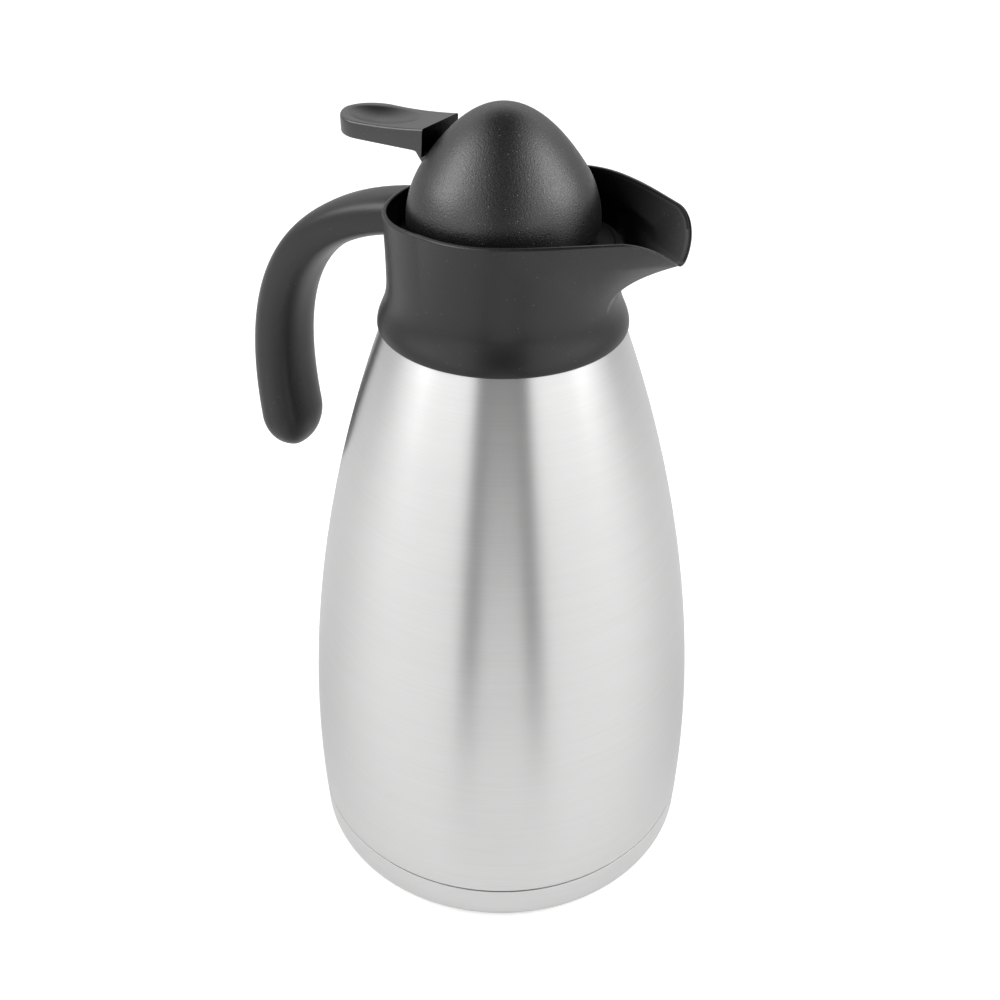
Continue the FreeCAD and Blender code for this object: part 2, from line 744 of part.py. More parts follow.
def make_thumb_lever():
    root = -dome_back(paddle_bottom) - 2 * room
    skirt = -dome_back(paddle_bottom - paddle_skirt) - room
    tip = -paddle_tip - 1
    middle = (tip + root) / 2
    side = Part.Face(Part.Wire([
        arc((tip, paddle_bottom + paddle_tip_top), (middle, paddle_bottom + paddle_middle_top),
            (root, paddle_bottom + paddle_root_top)),
        line((root, paddle_bottom + paddle_root_top), (skirt, paddle_bottom - paddle_skirt)),
        arc((skirt, paddle_bottom - paddle_skirt), (skirt - paddle_skirt / 2, paddle_bottom - paddle_skirt / 3),
            (skirt - 2 * paddle_skirt, paddle_bottom)),
        line((skirt - 2 * paddle_skirt, paddle_bottom), (tip, paddle_bottom)),
        line((tip, paddle_bottom), (tip, paddle_bottom + paddle_tip_top)),
    ]))
    paddle = across(side, 2 * paddle_tip_radius).common(paddle_plan())
    paddle = paddle.cut(thumb_dish())
    stop = -pivot_back - boss_radius - 1
    foot = pivot_height - boss_radius / 4
    lift_start = -cap_radius - room
    neck = across(polygon([
        (skirt - 1, paddle_bottom + 1), (skirt - neck_root, paddle_bottom + 1),
        (skirt - neck_root, paddle_bottom), (stop, foot), (stop, pivot_height + boss_radius),
    ]), neck_half_width)
    arm = across(polygon([
        (stop - 1, foot + 1), (-pivot_back, pivot_height - boss_radius), (0, pivot_height - nose_radius),
        (0, pivot_height + nose_radius), (lift_start, pivot_height + nose_radius),
        (-pivot_back, pivot_height + boss_radius),
        (stop - 1, pivot_height + boss_radius),
    ]), arm_half_width)
    boss = bar(-pivot_back, pivot_height, boss_radius, arm_half_width)
    nose = bar(0, pivot_height, nose_radius, arm_half_width)
    lever = paddle.fuse(neck).fuse(arm).fuse(boss).fuse(nose)
    fork_half = stem_radius + clear
    low = Vector(-stem_radius - 4 * clear, -fork_half, pivot_height - boss_radius)
    high = Vector(boss_radius, fork_half, pivot_height + boss_radius)
    lever = lever.cut(block(low, high))
    return lever.cut(bar(-pivot_back, pivot_height, pin_radius + running, boss_radius * 3)).removeSplitter()


def helix_wire(radius, bottom, height, turns):
    """Helix as pairs of tangent arcs, a quarter turn to each pair, with its sampled points."""
    quarters = 4 * turns
    rise = height / quarters
    slope = height / (2 * math.pi * turns)

    def place(step):
        angle = step * math.pi / 2
        return Vector(radius * math.cos(angle), radius * math.sin(angle), bottom + rise * step)

    def heading(step):
        angle = step * math.pi / 2
        return Vector(-radius * math.sin(angle), radius * math.cos(angle), slope).normalize()

    def round_edge(start, corner, end):
        middle = (start + end) / 2
        half = (end - start).Length / 2
        lift = (corner - middle).Length
        sagitta = half * math.tan(math.atan2(lift, half) / 2)
        return Part.Arc(start, middle + (corner - middle) * (sagitta / lift), end).toShape()

    edges = []
    for step in range(quarters):
        start, end = place(step), place(step + 1)
        first, last = heading(step), heading(step + 1)
        chord = end - start
        both = first + last
        a = 2 * (first.dot(last) - 1)
        b = -2 * chord.dot(both)
        reach = (-b - math.sqrt(b ** 2 - 4 * a * chord.dot(chord))) / (2 * a)
        one = start + first * reach
        two = end - last * reach
        joint = (one + two) / 2
        edges.append(round_edge(start, one, joint))
        edges.append(round_edge(joint, two, end))
    return Part.Wire(edges)


def make_valve_spring():
    bottom = plug_top + spring_wire / 2 + fit
    height = guide_bottom - fit - spring_wire / 2 - bottom
    path = helix_wire(spring_radius, bottom, height, spring_turns)
    start = path.Vertexes[0].Point
    first = path.Edges[0]
    heading = first.tangentAt(first.FirstParameter)
    section = Part.Wire(Part.makeCircle(spring_wire / 2, start, heading))
    print("spring: least gap between turns", round(height / spring_turns - spring_wire, 2))
    return path.makePipeShell([section], True, False)


def make_valve_stem():
    bottom = plug_bottom - plug_boss_drop
    return Part.makeCylinder(stem_radius, stem_top - bottom, Vector(0, 0, bottom))


def make_stem_cap():
    cap = Part.makeCylinder(cap_radius, cap_thickness, Vector(0, 0, cap_bottom))
    socket = Part.makeCylinder(stem_radius + fit, stem_top + fit - cap_bottom, Vector(0, 0, cap_bottom))
    return cap.cut(socket)


def make_valve_plug():
    plate = Part.makeCylinder(valve_hole_radius + plug_overlap, plug_thickness, Vector(0, 0, plug_bottom))
    hub = Part.makeCylinder(plug_hub_radius, plug_hub_rise, Vector(0, 0, plug_top))
    boss = Part.makeCylinder(plug_boss_radius, plug_boss_drop, Vector(0, 0, plug_bottom - plug_boss_drop))
    bore = Part.makeCylinder(stem_radius + fit, stem_top, Vector(0, 0, stopper_bottom - plug_boss_drop))
    return plate.fuse(hub).fuse(boss).cut(bore).removeSplitter()


def make_valve_seal():
    return ring(plug_boss_radius + fit, valve_hole_radius + plug_overlap, valve_seat, plug_bottom)


pieces = {
    "outer_shell": make_outer_shell,
    "inner_liner": make_inner_liner,
    "liner_cup": make_liner_cup,
    "base_cup": make_base_cup,
    "vacuum_base": make_vacuum_base,
    "seal_bead": make_seal_bead,
    "getter_pellet": make_getter_pellet,
    "getter_clip": make_getter_clip,
    "neck_gasket": make_neck_gasket,
    "collar": make_collar,
    "handle": make_handle,
    "handle_screws": make_handle_screws,
    "stopper": make_stopper,
    "stopper_seal": make_stopper_seal,
    "stem_guide": make_stem_guide,
    "lever_pin": make_lever_pin,
    "dome": make_dome,
    "thumb_lever": make_thumb_lever,
    "valve_spring": make_valve_spring,
    "valve_stem": make_valve_stem,
    "stem_cap": make_stem_cap,
    "valve_plug": make_valve_plug,
    "valve_seal": make_valve_seal,
}

os.makedirs("parts", exist_ok=True)
for name, make in pieces.items():
    shape = make()
    box = shape.BoundBox
    print(name, "valid" if shape.isValid() else "NOT VALID", len(shape.Solids), "solids",
          round(shape.Volume, 1), "mm3, z", round(box.ZMin, 2), round(box.ZMax, 2))
    shape.exportStep(os.path.join("parts", name + ".step"))
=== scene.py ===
"""Insulated steel jug with a domed thumb-lever stopper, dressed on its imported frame.

Sizes are in millimetres, as on the workshop drawing, and become metres when a mesh is made.
The beak points along +X, the handle along -X, and the table is the plane z = 0.
"""
import logging
import math
from dataclasses import dataclass, replace
from enum import Enum
from functools import cache
from typing import Optional, Sequence, Union

import bmesh
import bpy
import numpy as np
from mathutils import Matrix, Vector


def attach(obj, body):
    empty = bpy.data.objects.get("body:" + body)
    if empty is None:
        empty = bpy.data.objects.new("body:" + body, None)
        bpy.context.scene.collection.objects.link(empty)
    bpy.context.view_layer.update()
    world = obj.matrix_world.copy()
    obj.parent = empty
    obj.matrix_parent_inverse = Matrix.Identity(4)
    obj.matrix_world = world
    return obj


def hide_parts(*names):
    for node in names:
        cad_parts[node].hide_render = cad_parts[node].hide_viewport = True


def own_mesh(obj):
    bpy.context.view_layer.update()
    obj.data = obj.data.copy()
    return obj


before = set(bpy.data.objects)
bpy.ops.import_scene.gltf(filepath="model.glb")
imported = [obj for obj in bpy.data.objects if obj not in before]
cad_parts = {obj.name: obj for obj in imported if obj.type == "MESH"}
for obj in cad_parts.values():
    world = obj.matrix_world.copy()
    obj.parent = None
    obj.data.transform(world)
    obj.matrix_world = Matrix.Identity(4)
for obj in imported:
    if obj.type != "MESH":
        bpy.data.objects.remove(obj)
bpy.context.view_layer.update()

MM = 0.001
LOG = logging.getLogger("jug")

SMALLEST = 1e-9
AXIS_GUARD = 1e-5
MERGE_DISTANCE = 2e-7
FLAT_DISTANCE = 1e-8
BEVEL_SEGMENTS = 3
BEVEL_ANGLE = math.radians(30)
LARGE_TURN = 256
BROAD_TURN = 192
PLAIN_TURN = 160
NARROW_TURN = 96
PIN_TURN = 64
WHITE = (1.0, 1.0, 1.0, 1.0)

Pair = tuple[float, float]
Corner = tuple[float, float, float]
Colour = tuple[float, float, float]
Socket = bpy.types.NodeSocket
Number = Union[float, Socket]


class Body(Enum):
    """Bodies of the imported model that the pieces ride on."""

    VESSEL = "vessel"
    LID = "lid"
    LEVER = "lever"
    VALVE = "valve"


# Meshes from grids


def outline(corners: Sequence[Corner], closed: bool = True, steps: int = 7) -> np.ndarray:
    """Polyline through corners, each rounded by a parabola that touches both of its sides.

    A point is (1-t)^2 A + 2t(1-t) C + t^2 B, where C is the corner and A, B lie on its sides.

    Args:
        corners: First coordinate, second coordinate and rounding length of each corner.
        closed: Whether the last corner joins the first.
        steps: Points on each corner.

    Returns:
        Array of points, one row each.
    """
    table = np.array(corners, float)
    here, size = table[:, :2], table[:, 2:]
    before, after = np.roll(here, 1, 0), np.roll(here, -1, 0)
    if not closed:
        before[0], after[-1] = here[0], here[-1]
    back, forth = before - here, after - here
    back /= np.maximum(np.linalg.norm(back, axis=1, keepdims=True), SMALLEST)
    forth /= np.maximum(np.linalg.norm(forth, axis=1, keepdims=True), SMALLEST)
    t = np.linspace(0.0, 1.0, steps)[None, :, None]
    start, middle, end = (a[:, None, :] for a in (here + back * size, here, here + forth * size))
    points = (1 - t) ** 2 * start + 2 * t * (1 - t) * middle + t ** 2 * end
    return points.reshape(-1, 2)


def spun(profile: np.ndarray, columns: int, start: float = 0.0, sweep: float = 2 * math.pi) -> np.ndarray:
    """Grid of a profile turned about the upright axis: (r cos a, r sin a, z).

    Args:
        profile: Radius and height of each point.
        columns: Number of angles.
        start: First angle.
        sweep: Angle covered, a full turn unless the piece has a gap.

    Returns:
        Points, columns by profile by 3.
    """
    whole = abs(sweep - 2 * math.pi) < SMALLEST
    angle = start + np.linspace(0.0, sweep, columns, endpoint=not whole)[:, None]
    radius, height = profile[None, :, 0], profile[None, :, 1]
    return np.stack([radius * np.cos(angle), radius * np.sin(angle), height + 0 * angle], -1)


def prism(profile: np.ndarray, near: float, far: float) -> np.ndarray:
    """Grid of an upright side profile (x, z) carried across from y = near to y = far."""
    across = np.array([near, far])[:, None]
    return np.stack([profile[None, :, 0] + 0 * across, across + 0 * profile[None, :, 0],
                     profile[None, :, 1] + 0 * across], -1)


def quads(rows: int, columns: int, wrap_rows: bool, wrap_columns: bool) -> np.ndarray:
    """Corner numbers of the cells of a grid.

    Args:
        rows: Rows of points.
        columns: Columns of points.
        wrap_rows: Whether the last row joins the first.
        wrap_columns: Whether the last column joins the first.

    Returns:
        Four point numbers for each cell, in grid order.
    """
    i = np.arange(rows if wrap_rows else rows - 1)[:, None] * columns
    j = np.arange(columns if wrap_columns else columns - 1)[None, :]
    below, right = (i + columns) % (rows * columns), (j + 1) % columns
    return np.stack([i + j, below + j, below + right, i + right], -1).reshape(-1, 4)


def make_piece(name: str, grid: np.ndarray, wrap_rows: bool = True, wrap_columns: bool = True,
               keep: Optional[np.ndarray] = None, crease: float = 38.0,
               fill: bool = False) -> bpy.types.Object:
    """Mesh object from a grid of points in millimetres, with closed seams and poles.

    Args:
        name: Name of the piece.
        grid: Points, rows by columns by 3.
        wrap_rows: Whether the last row joins the first.
        wrap_columns: Whether the last column joins the first.
        keep: Mask of the cells that stay, or None for all.
        crease: Angle in degrees above which an edge is drawn sharp.
        fill: Whether open ends are closed with flat faces.

    Returns:
        The new object, at the origin.
    """
    rows, columns = grid.shape[:2]
    cells = quads(rows, columns, wrap_rows, wrap_columns)
    if keep is not None:
        cells = cells[keep.reshape(-1)]
    mesh = bpy.data.meshes.new(name)
    mesh.from_pydata((grid.reshape(-1, 3) * MM).tolist(), [], cells.tolist())
    shape = bmesh.new()
    shape.from_mesh(mesh)
    bmesh.ops.remove_doubles(shape, verts=shape.verts, dist=MERGE_DISTANCE)
    bmesh.ops.dissolve_degenerate(shape, edges=shape.edges, dist=FLAT_DISTANCE)
    loose = [vertex for vertex in shape.verts if not vertex.link_faces]
    bmesh.ops.delete(shape, geom=loose, context="VERTS")
    if fill:
        rim = [edge for edge in shape.edges if edge.is_boundary]
        bmesh.ops.holes_fill(shape, edges=rim, sides=0)
    bmesh.ops.recalc_face_normals(shape, faces=shape.faces)
    shape.to_mesh(mesh)
    shape.free()
    mesh.shade_smooth()
    mesh.set_sharp_from_angle(angle=math.radians(crease))
    piece = bpy.data.objects.new(name, mesh)
    bpy.context.scene.collection.objects.link(piece)
    return piece


def turned_ring(name: str, corners: Sequence[Corner], columns: int) -> bpy.types.Object:
    """Ring: a closed outline with rounded corners, turned about the upright axis."""
    return make_piece(name, spun(outline(corners), columns))


def turned_rod(name: str, corners: Sequence[Corner], columns: int) -> bpy.types.Object:
    """Solid piece: an outline that starts and ends on the upright axis, turned about it."""
    return make_piece(name, spun(outline(corners, closed=False), columns), wrap_columns=False)


def soften(piece: bpy.types.Object, width: float) -> bpy.types.Object:
    """Rounds the sharp edges of a piece with a live bevel.

    Args:
        piece: The piece.
        width: Width of the bevel in millimetres.

    Returns:
        The piece.
    """
    bevel = piece.modifiers.new("soft_edges", "BEVEL")
    bevel.width = width * MM
    bevel.segments = BEVEL_SEGMENTS
    bevel.limit_method = "ANGLE"
    bevel.angle_limit = BEVEL_ANGLE
    bevel.harden_normals = True
    return piece


# Shader graphs


class Graph:
    """Short ways to add and join the nodes of one tree."""

    def __init__(self, tree: bpy.types.NodeTree) -> None:
        """Takes the tree and empties it."""
        self.tree = tree
        tree.nodes.clear()

    def add(self, kind: str, **settings: object) -> bpy.types.Node:
        """Adds a node.

        Args:
            kind: Blender's name of the node type.
            **settings: Properties to set on it.

        Returns:
            The node.
        """
        node = self.tree.nodes.new(kind)
        for key, value in settings.items():
            setattr(node, key, value)
        return node

    def feed(self, target: Socket, source: Union[Number, Sequence[float]]) -> None:
        """Links a socket into another, or sets that one's own value.

        Args:
            target: Socket to feed.
            source: Socket to link, or the value to set.
        """
        if isinstance(source, Socket):
            self.tree.links.new(source, target)
        else:
            target.default_value = source

    def maths(self, operation: str, *values: Number) -> Socket:
        """Math node.

        Args:
            operation: Blender's name of the operation.
            *values: Numbers or sockets for its inputs.

        Returns:
            Its value.
        """
        node = self.add("ShaderNodeMath", operation=operation)
        for socket, value in zip(node.inputs, values):
            self.feed(socket, value)
        return node.outputs[0]

    def ramp(self, value: Number, low: Number, high: Number, to_low: Number, to_high: Number) -> Socket:
        """Smooth step.

        Args:
            value: What is mapped.
            low: Value where the step starts.
            high: Value where it ends.
            to_low: Result at the start.
            to_high: Result at the end.

        Returns:
            The mapped value.
        """
        node = self.add("ShaderNodeMapRange", interpolation_type="SMOOTHSTEP")
        for socket, item in zip(node.inputs, (value, low, high, to_low, to_high)):
            self.feed(socket, item)
        return node.outputs[0]

    def tint(self, share: Number, first: Union[Colour, Socket], second: Colour) -> Socket:
        """Mix of two colours.

        Args:
            share: Share of the second colour.
            first: First colour.
            second: Second colour.

        Returns:
            The mixed colour.
        """
        node = self.add("ShaderNodeMix", data_type="RGBA")
        self.feed(node.inputs[0], share)
        self.feed(node.inputs[6], first if isinstance(first, Socket) else (*first, 1.0))
        self.feed(node.inputs[7], (*second, 1.0))
        return node.outputs[2]

    def noise(self, place: Socket, scale: Number, detail: float) -> Socket:
        """Noise texture.

        Args:
            place: Point to read it at.
            scale: Scale of the noise.
            detail: Number of finer layers.

        Returns:
            Its value.
        """
        node = self.add("ShaderNodeTexNoise")
        self.feed(node.inputs["Vector"], place)
        self.feed(node.inputs["Scale"], scale)
        self.feed(node.inputs["Detail"], detail)
        return node.outputs[0]

    def place(self) -> Socket:
        """Point on the object, in its own coordinates."""
        return self.add("ShaderNodeTexCoord").outputs["Object"]

    def split(self, vector: Socket) -> Sequence[Socket]:
        """Splits a vector.

        Args:
            vector: The vector.

        Returns:
            Its three parts.
        """
        node = self.add("ShaderNodeSeparateXYZ")
        self.feed(node.inputs[0], vector)
        return node.outputs

    def reach(self, x: Socket, y: Socket) -> Socket:
        """Distance of (x, y) from the axis, never quite nothing, because it divides."""
        squares = self.maths("ADD", self.maths("MULTIPLY", x, x), self.maths("MULTIPLY", y, y))
        return self.maths("MAXIMUM", self.maths("SQRT", squares), AXIS_GUARD)

    def bump(self, height: Socket, strength: float, distance: float) -> Socket:
        """Bump node.

        Args:
            height: Height over the surface, from 0 to 1.
            strength: Strength of the effect.
            distance: Full height in metres.

        Returns:
            The bent normal.
        """
        node = self.add("ShaderNodeBump")
        self.feed(node.inputs["Strength"], strength)
        self.feed(node.inputs["Distance"], distance)
        self.feed(node.inputs["Height"], height)
        return node.outputs[0]

    def group(self, tree: bpy.types.NodeTree, **values: float) -> bpy.types.Node:
        """Places a shared group.

        Args:
            tree: The group.
            **values: Values of its named inputs.

        Returns:
            The group's node.
        """
        node = self.add("ShaderNodeGroup", node_tree=tree)
        for key, value in values.items():
            self.feed(node.inputs[key], value)
        return node


def start_group(name: str, inputs: dict[str, float],
                outputs: Sequence[str]) -> tuple[Graph, bpy.types.Node, bpy.types.Node]:
    """Starts an empty shader node group with value sockets.

    Args:
        name: Name of the group.
        inputs: Name and default of each input.
        outputs: Names of the outputs.

    Returns:
        The group's graph, its input node and its output node.
    """
    tree = bpy.data.node_groups.new(name, "ShaderNodeTree")
    for key, value in inputs.items():
        tree.interface.new_socket(key, in_out="INPUT", socket_type="NodeSocketFloat").default_value = value
    for key in outputs:
        tree.interface.new_socket(key, in_out="OUTPUT", socket_type="NodeSocketFloat")
    graph = Graph(tree)
    return graph, graph.add("NodeGroupInput"), graph.add("NodeGroupOutput")


def start_material(name: str) -> tuple[bpy.types.Material, Graph, bpy.types.Node]:
    """Starts a material with one Principled shader.

    Args:
        name: Name of the material.

    Returns:
        The material, its graph and the shader.
    """
    paint = bpy.data.materials.new(name)
    paint.use_nodes = True
    graph = Graph(paint.node_tree)
    shader = graph.add("ShaderNodeBsdfPrincipled")
    graph.feed(graph.add("ShaderNodeOutputMaterial").inputs[0], shader.outputs[0])
    return paint, graph, shader


@cache
def brushed_lines_group() -> bpy.types.NodeTree:
    """Lines brushed round the upright axis: noise stretched along the direction (x, y) / r.

    Returns:
        Group with the inputs Pitch in metres and Streak, and the outputs Lines and Bands.
    """
    level_slope = 0.35
    coarseness = {"Lines": 1.0, "Bands": 0.12}
    graph, given, made = start_group("brushed_lines", {"Pitch": 0.0004, "Streak": 2.0}, tuple(coarseness))
    x, y, z = graph.split(graph.place())
    radius = graph.reach(x, y)
    stretch = graph.maths("DIVIDE", given.outputs["Streak"], radius)
    level = graph.maths("ADD", z, graph.maths("MULTIPLY", radius, level_slope))
    level = graph.maths("DIVIDE", level, given.outputs["Pitch"])
    for key, coarse in coarseness.items():
        joined = graph.add("ShaderNodeCombineXYZ")
        graph.feed(joined.inputs[0], graph.maths("MULTIPLY", x, stretch))
        graph.feed(joined.inputs[1], graph.maths("MULTIPLY", y, stretch))
        graph.feed(joined.inputs[2], graph.maths("MULTIPLY", level, coarse))
        graph.feed(made.inputs[key], graph.noise(joined.outputs[0], 1.0, 1.0))
    return graph.tree


@cache
def moulded_grain_group() -> bpy.types.NodeTree:
    """Grain of a spark-eroded mould: fine noise, sparse pale flecks and a slow mottle.

    Returns:
        Group with the inputs Grain and Spacing in metres, and the outputs Height, Flecks and Mottle.
    """
    dot_core, dot_edge, palest_from = 0.06, 0.18, 0.55
    mottle_scale, mottle_detail, grain_detail = 90.0, 3.0, 2.0
    graph, given, made = start_group("moulded_grain", {"Grain": 0.0004, "Spacing": 0.0016},
                                     ("Height", "Flecks", "Mottle"))
    place = graph.place()
    fine = graph.maths("DIVIDE", 1.0, given.outputs["Grain"])
    graph.feed(made.inputs["Height"], graph.noise(place, fine, grain_detail))
    cells = graph.add("ShaderNodeTexVoronoi")
    graph.feed(cells.inputs["Vector"], place)
    graph.feed(cells.inputs["Scale"], graph.maths("DIVIDE", 1.0, given.outputs["Spacing"]))
    chance = graph.add("ShaderNodeSeparateColor")
    graph.feed(chance.inputs[0], cells.outputs["Color"])
    dot = graph.ramp(cells.outputs["Distance"], dot_core, dot_edge, 1.0, 0.0)
    picked = graph.ramp(chance.outputs[0], palest_from, 1.0, 0.0, 1.0)
    graph.feed(made.inputs["Flecks"], graph.maths("MULTIPLY", dot, picked))
    graph.feed(made.inputs["Mottle"], graph.noise(place, mottle_scale, mottle_detail))
    return graph.tree


@cache
def handling_group() -> bpy.types.NodeTree:
    """Faint smudges from handling: broad noise, pushed towards its ends.

    Returns:
        Group with the input Size in metres and the output Smudge.
    """
    clean, smudged, detail = 0.38, 0.68, 4.0
    graph, given, made = start_group("handling", {"Size": 0.03}, ("Smudge",))
    broad = graph.noise(graph.place(), graph.maths("DIVIDE", 1.0, given.outputs["Size"]), detail)
    graph.feed(made.inputs["Smudge"], graph.ramp(broad, clean, smudged, 0.0, 1.0))
    return graph.tree


@cache
def inward_shade_group() -> bpy.types.NodeTree:
    """Faces that look at the upright axis from close by, such as the inside of a throat; the mask of the
    painted shade there.

    Returns:
        Group with the inputs Near and Far in metres, and the output Inward.
    """
    inward_cosine = -0.35
    graph, given, made = start_group("inward", {"Near": 0.036, "Far": 0.056}, ("Inward",))
    x, y, _ = graph.split(graph.place())
    along_x, along_y, _ = graph.split(graph.add("ShaderNodeNewGeometry").outputs["Normal"])
    away = graph.maths("MULTIPLY_ADD", x, along_x, graph.maths("MULTIPLY", y, along_y))
    radius = graph.reach(x, y)
    facing = graph.ramp(graph.maths("DIVIDE", away, radius), inward_cosine, 0.0, 1.0, 0.0)
    close = graph.ramp(radius, given.outputs["Near"], given.outputs["Far"], 1.0, 0.0)
    graph.feed(made.inputs["Inward"], graph.maths("MULTIPLY", facing, close))
    return graph.tree


# Finishes


@dataclass(frozen=True)
class BrushedSteel:
    """Stainless steel brushed round the upright axis."""

    slot: str = "brushed_shell"
    shade: str = "bright"
    pale: Colour = (0.621, 0.621, 0.619)
    dark: Colour = (0.599, 0.599, 0.597)
    roughness: float = 0.31
    spread: float = 0.012
    pitch: float = 0.00030
    streak: float = 1.6
    line_share: float = 0.7
    tone_ends: Pair = (0.3, 0.7)
    smudge_size: float = 0.045
    smudge_rough: float = 0.02
    anisotropy: float = 0.78
    across: float = 0.25
    depth: float = 0.05
    line_height: float = 0.00004

    @cache
    def material(self) -> bpy.types.Material:
        """Builds the material, once for each finish.

        Returns:
            The material.
        """
        paint, graph, shader = start_material(f"steel_{self.slot}_{self.shade}")
        graph.feed(shader.inputs["Metallic"], 1.0)
        graph.feed(shader.inputs["Anisotropic"], self.anisotropy)
        graph.feed(shader.inputs["Anisotropic Rotation"], self.across)
        brushed = graph.group(brushed_lines_group(), Pitch=self.pitch, Streak=self.streak).outputs
        smudge = graph.group(handling_group(), Size=self.smudge_size).outputs["Smudge"]
        bands = graph.maths("MULTIPLY", brushed["Bands"], 1 - self.line_share)
        tone = graph.maths("MULTIPLY_ADD", brushed["Lines"], self.line_share, bands)
        tone = graph.ramp(tone, *self.tone_ends, 0.0, 1.0)
        graph.feed(shader.inputs["Base Color"], graph.tint(tone, self.dark, self.pale))
        rough = graph.maths("MULTIPLY_ADD", brushed["Bands"], self.spread, self.roughness)
        graph.feed(shader.inputs["Roughness"], graph.maths("MULTIPLY_ADD", smudge, self.smudge_rough, rough))
        tangent = graph.add("ShaderNodeTangent", direction_type="RADIAL", axis="Z")
        graph.feed(shader.inputs["Tangent"], tangent.outputs[0])
        graph.feed(shader.inputs["Normal"], graph.bump(brushed["Lines"], self.depth, self.line_height))
        return paint


@dataclass(frozen=True)
class MouldedPlastic:
    """Dark plastic with the grain of its mould.

    Painted inner shade: on faces near the axis, such as the inside of the throat, Metallic takes the gloss
    away and leaves only the dark base colour, standing in for the shade that falls there.
    """

    slot: str
    base: Colour
    shade: str = "plain"
    fleck: Colour = (0.16, 0.16, 0.16)
    mottle: float = 0.14
    roughness: float = 0.46
    spread: float = 0.10
    grain: float = 0.00045
    spacing: float = 0.0017
    depth: float = 0.25
    grain_height: float = 0.00012
    fleck_share: float = 0.5
    smudge_size: float = 0.022
    smudge_rough: float = -0.04
    level: float = 0.5
    painted_inner_shade: bool = False

    @cache
    def material(self) -> bpy.types.Material:
        """Builds the material, once for each finish.

        Returns:
            The material.
        """
        paint, graph, shader = start_material(f"plastic_{self.slot}_{self.shade}")
        graph.feed(shader.inputs["Specular IOR Level"], self.level)
        # Painted shade: faces inside the throat are darkened through Metallic, in place of the shade that
        # falls there.
        if self.painted_inner_shade:
            graph.feed(shader.inputs["Metallic"], graph.group(inward_shade_group()).outputs["Inward"])
        grain = graph.group(moulded_grain_group(), Grain=self.grain, Spacing=self.spacing).outputs
        smudge = graph.group(handling_group(), Size=self.smudge_size).outputs["Smudge"]
        low = tuple((1 - self.mottle) * value for value in self.base)
        high = tuple((1 + self.mottle) * value for value in self.base)
        plain = graph.tint(grain["Mottle"], low, high)
        flecks = graph.maths("MULTIPLY", grain["Flecks"], self.fleck_share)
        graph.feed(shader.inputs["Base Color"], graph.tint(flecks, plain, self.fleck))
        rough = graph.maths("MULTIPLY_ADD", grain["Height"], self.spread, self.roughness - self.spread / 2)
        graph.feed(shader.inputs["Roughness"], graph.maths("MULTIPLY_ADD", smudge, self.smudge_rough, rough))
        graph.feed(shader.inputs["Normal"], graph.bump(grain["Height"], self.depth, self.grain_height))
        return paint


@dataclass(frozen=True)
class SoftRubber(MouldedPlastic):
    """Pale silicone: the same grain, broad and matte."""

    slot: str = "seal_rubber"
    base: Colour = (0.62, 0.61, 0.57)
    fleck: Colour = (0.70, 0.69, 0.66)
    roughness: float = 0.62
    depth: float = 0.10
    level: float = 0.35


SHELL_STEEL = BrushedSteel()
LINER_STEEL = BrushedSteel(
    slot="liner_steel", pale=(0.70, 0.70, 0.69), dark=(0.58, 0.58, 0.575), roughness=0.36)
SCREW_STEEL = BrushedSteel(
    slot="screw_steel", pale=(0.66, 0.66, 0.66), dark=(0.55, 0.55, 0.55), roughness=0.24,
    pitch=0.0002, anisotropy=0.2, depth=0.08)
# Painted shade: the handle screws are bright steel, given a near-black colour so that they show no glint
# through the rim.
SHADED_SCREW = replace(
    SCREW_STEEL, shade="painted_dark", pale=(0.035, 0.035, 0.036), dark=(0.028, 0.028, 0.029),
    roughness=0.5, anisotropy=0.1)
BEAD_METAL = BrushedSteel(
    slot="bead", pale=(0.50, 0.50, 0.51), dark=(0.42, 0.42, 0.43), roughness=0.5, anisotropy=0.1)
GREY_PLASTIC = MouldedPlastic(
    slot="grey_plastic", base=(0.0045, 0.0045, 0.0047), roughness=0.37, fleck_share=0.28, level=0.48)
# The collar's finish: the grey plastic with painted shade on the faces inside the throat.
COLLAR_PLASTIC = replace(GREY_PLASTIC, shade="collar", painted_inner_shade=True)
# The lever's finish: a lighter, glossier copy of the grey plastic, painted light for the brighter light on
# the lever; it keeps the painted shade on faces near the axis.
LIT_LEVER_PLASTIC = replace(
    COLLAR_PLASTIC, shade="lever", base=(0.007, 0.007, 0.0072), roughness=0.34, level=0.8)
DOME_PLASTIC = MouldedPlastic(
    slot="dome_plastic", base=(0.005, 0.005, 0.0052), fleck=(0.32, 0.32, 0.32), roughness=0.38,
    spread=0.3, level=0.76, spacing=0.0008, depth=0.7, fleck_share=0.8)
INNER_PLASTIC = MouldedPlastic(
    slot="inner_plastic", base=(0.004, 0.004, 0.004), roughness=0.55, depth=0.12,
    fleck_share=0.2, level=0.2)
RUBBER = SoftRubber()
Finish = Union[BrushedSteel, MouldedPlastic]


def dress(piece: bpy.types.Object, finish: Finish, body: Body, *nodes: str) -> bpy.types.Object:
    """Gives a piece its finish and its body, and lets it stand for CAD nodes.

    Args:
        piece: The piece.
        finish: Its finish.
        body: The body that it moves with.
        *nodes: CAD nodes that it replaces.

    Returns:
        The piece.
    """
    piece.data.materials.append(finish.material())
    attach(piece, body.value)
    if nodes:
        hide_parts(*nodes)
    finish.slot
    LOG.info("%s: %d faces on %s", piece.name, len(piece.data.polygons), body.value)
    return piece


# Sub-assemblies


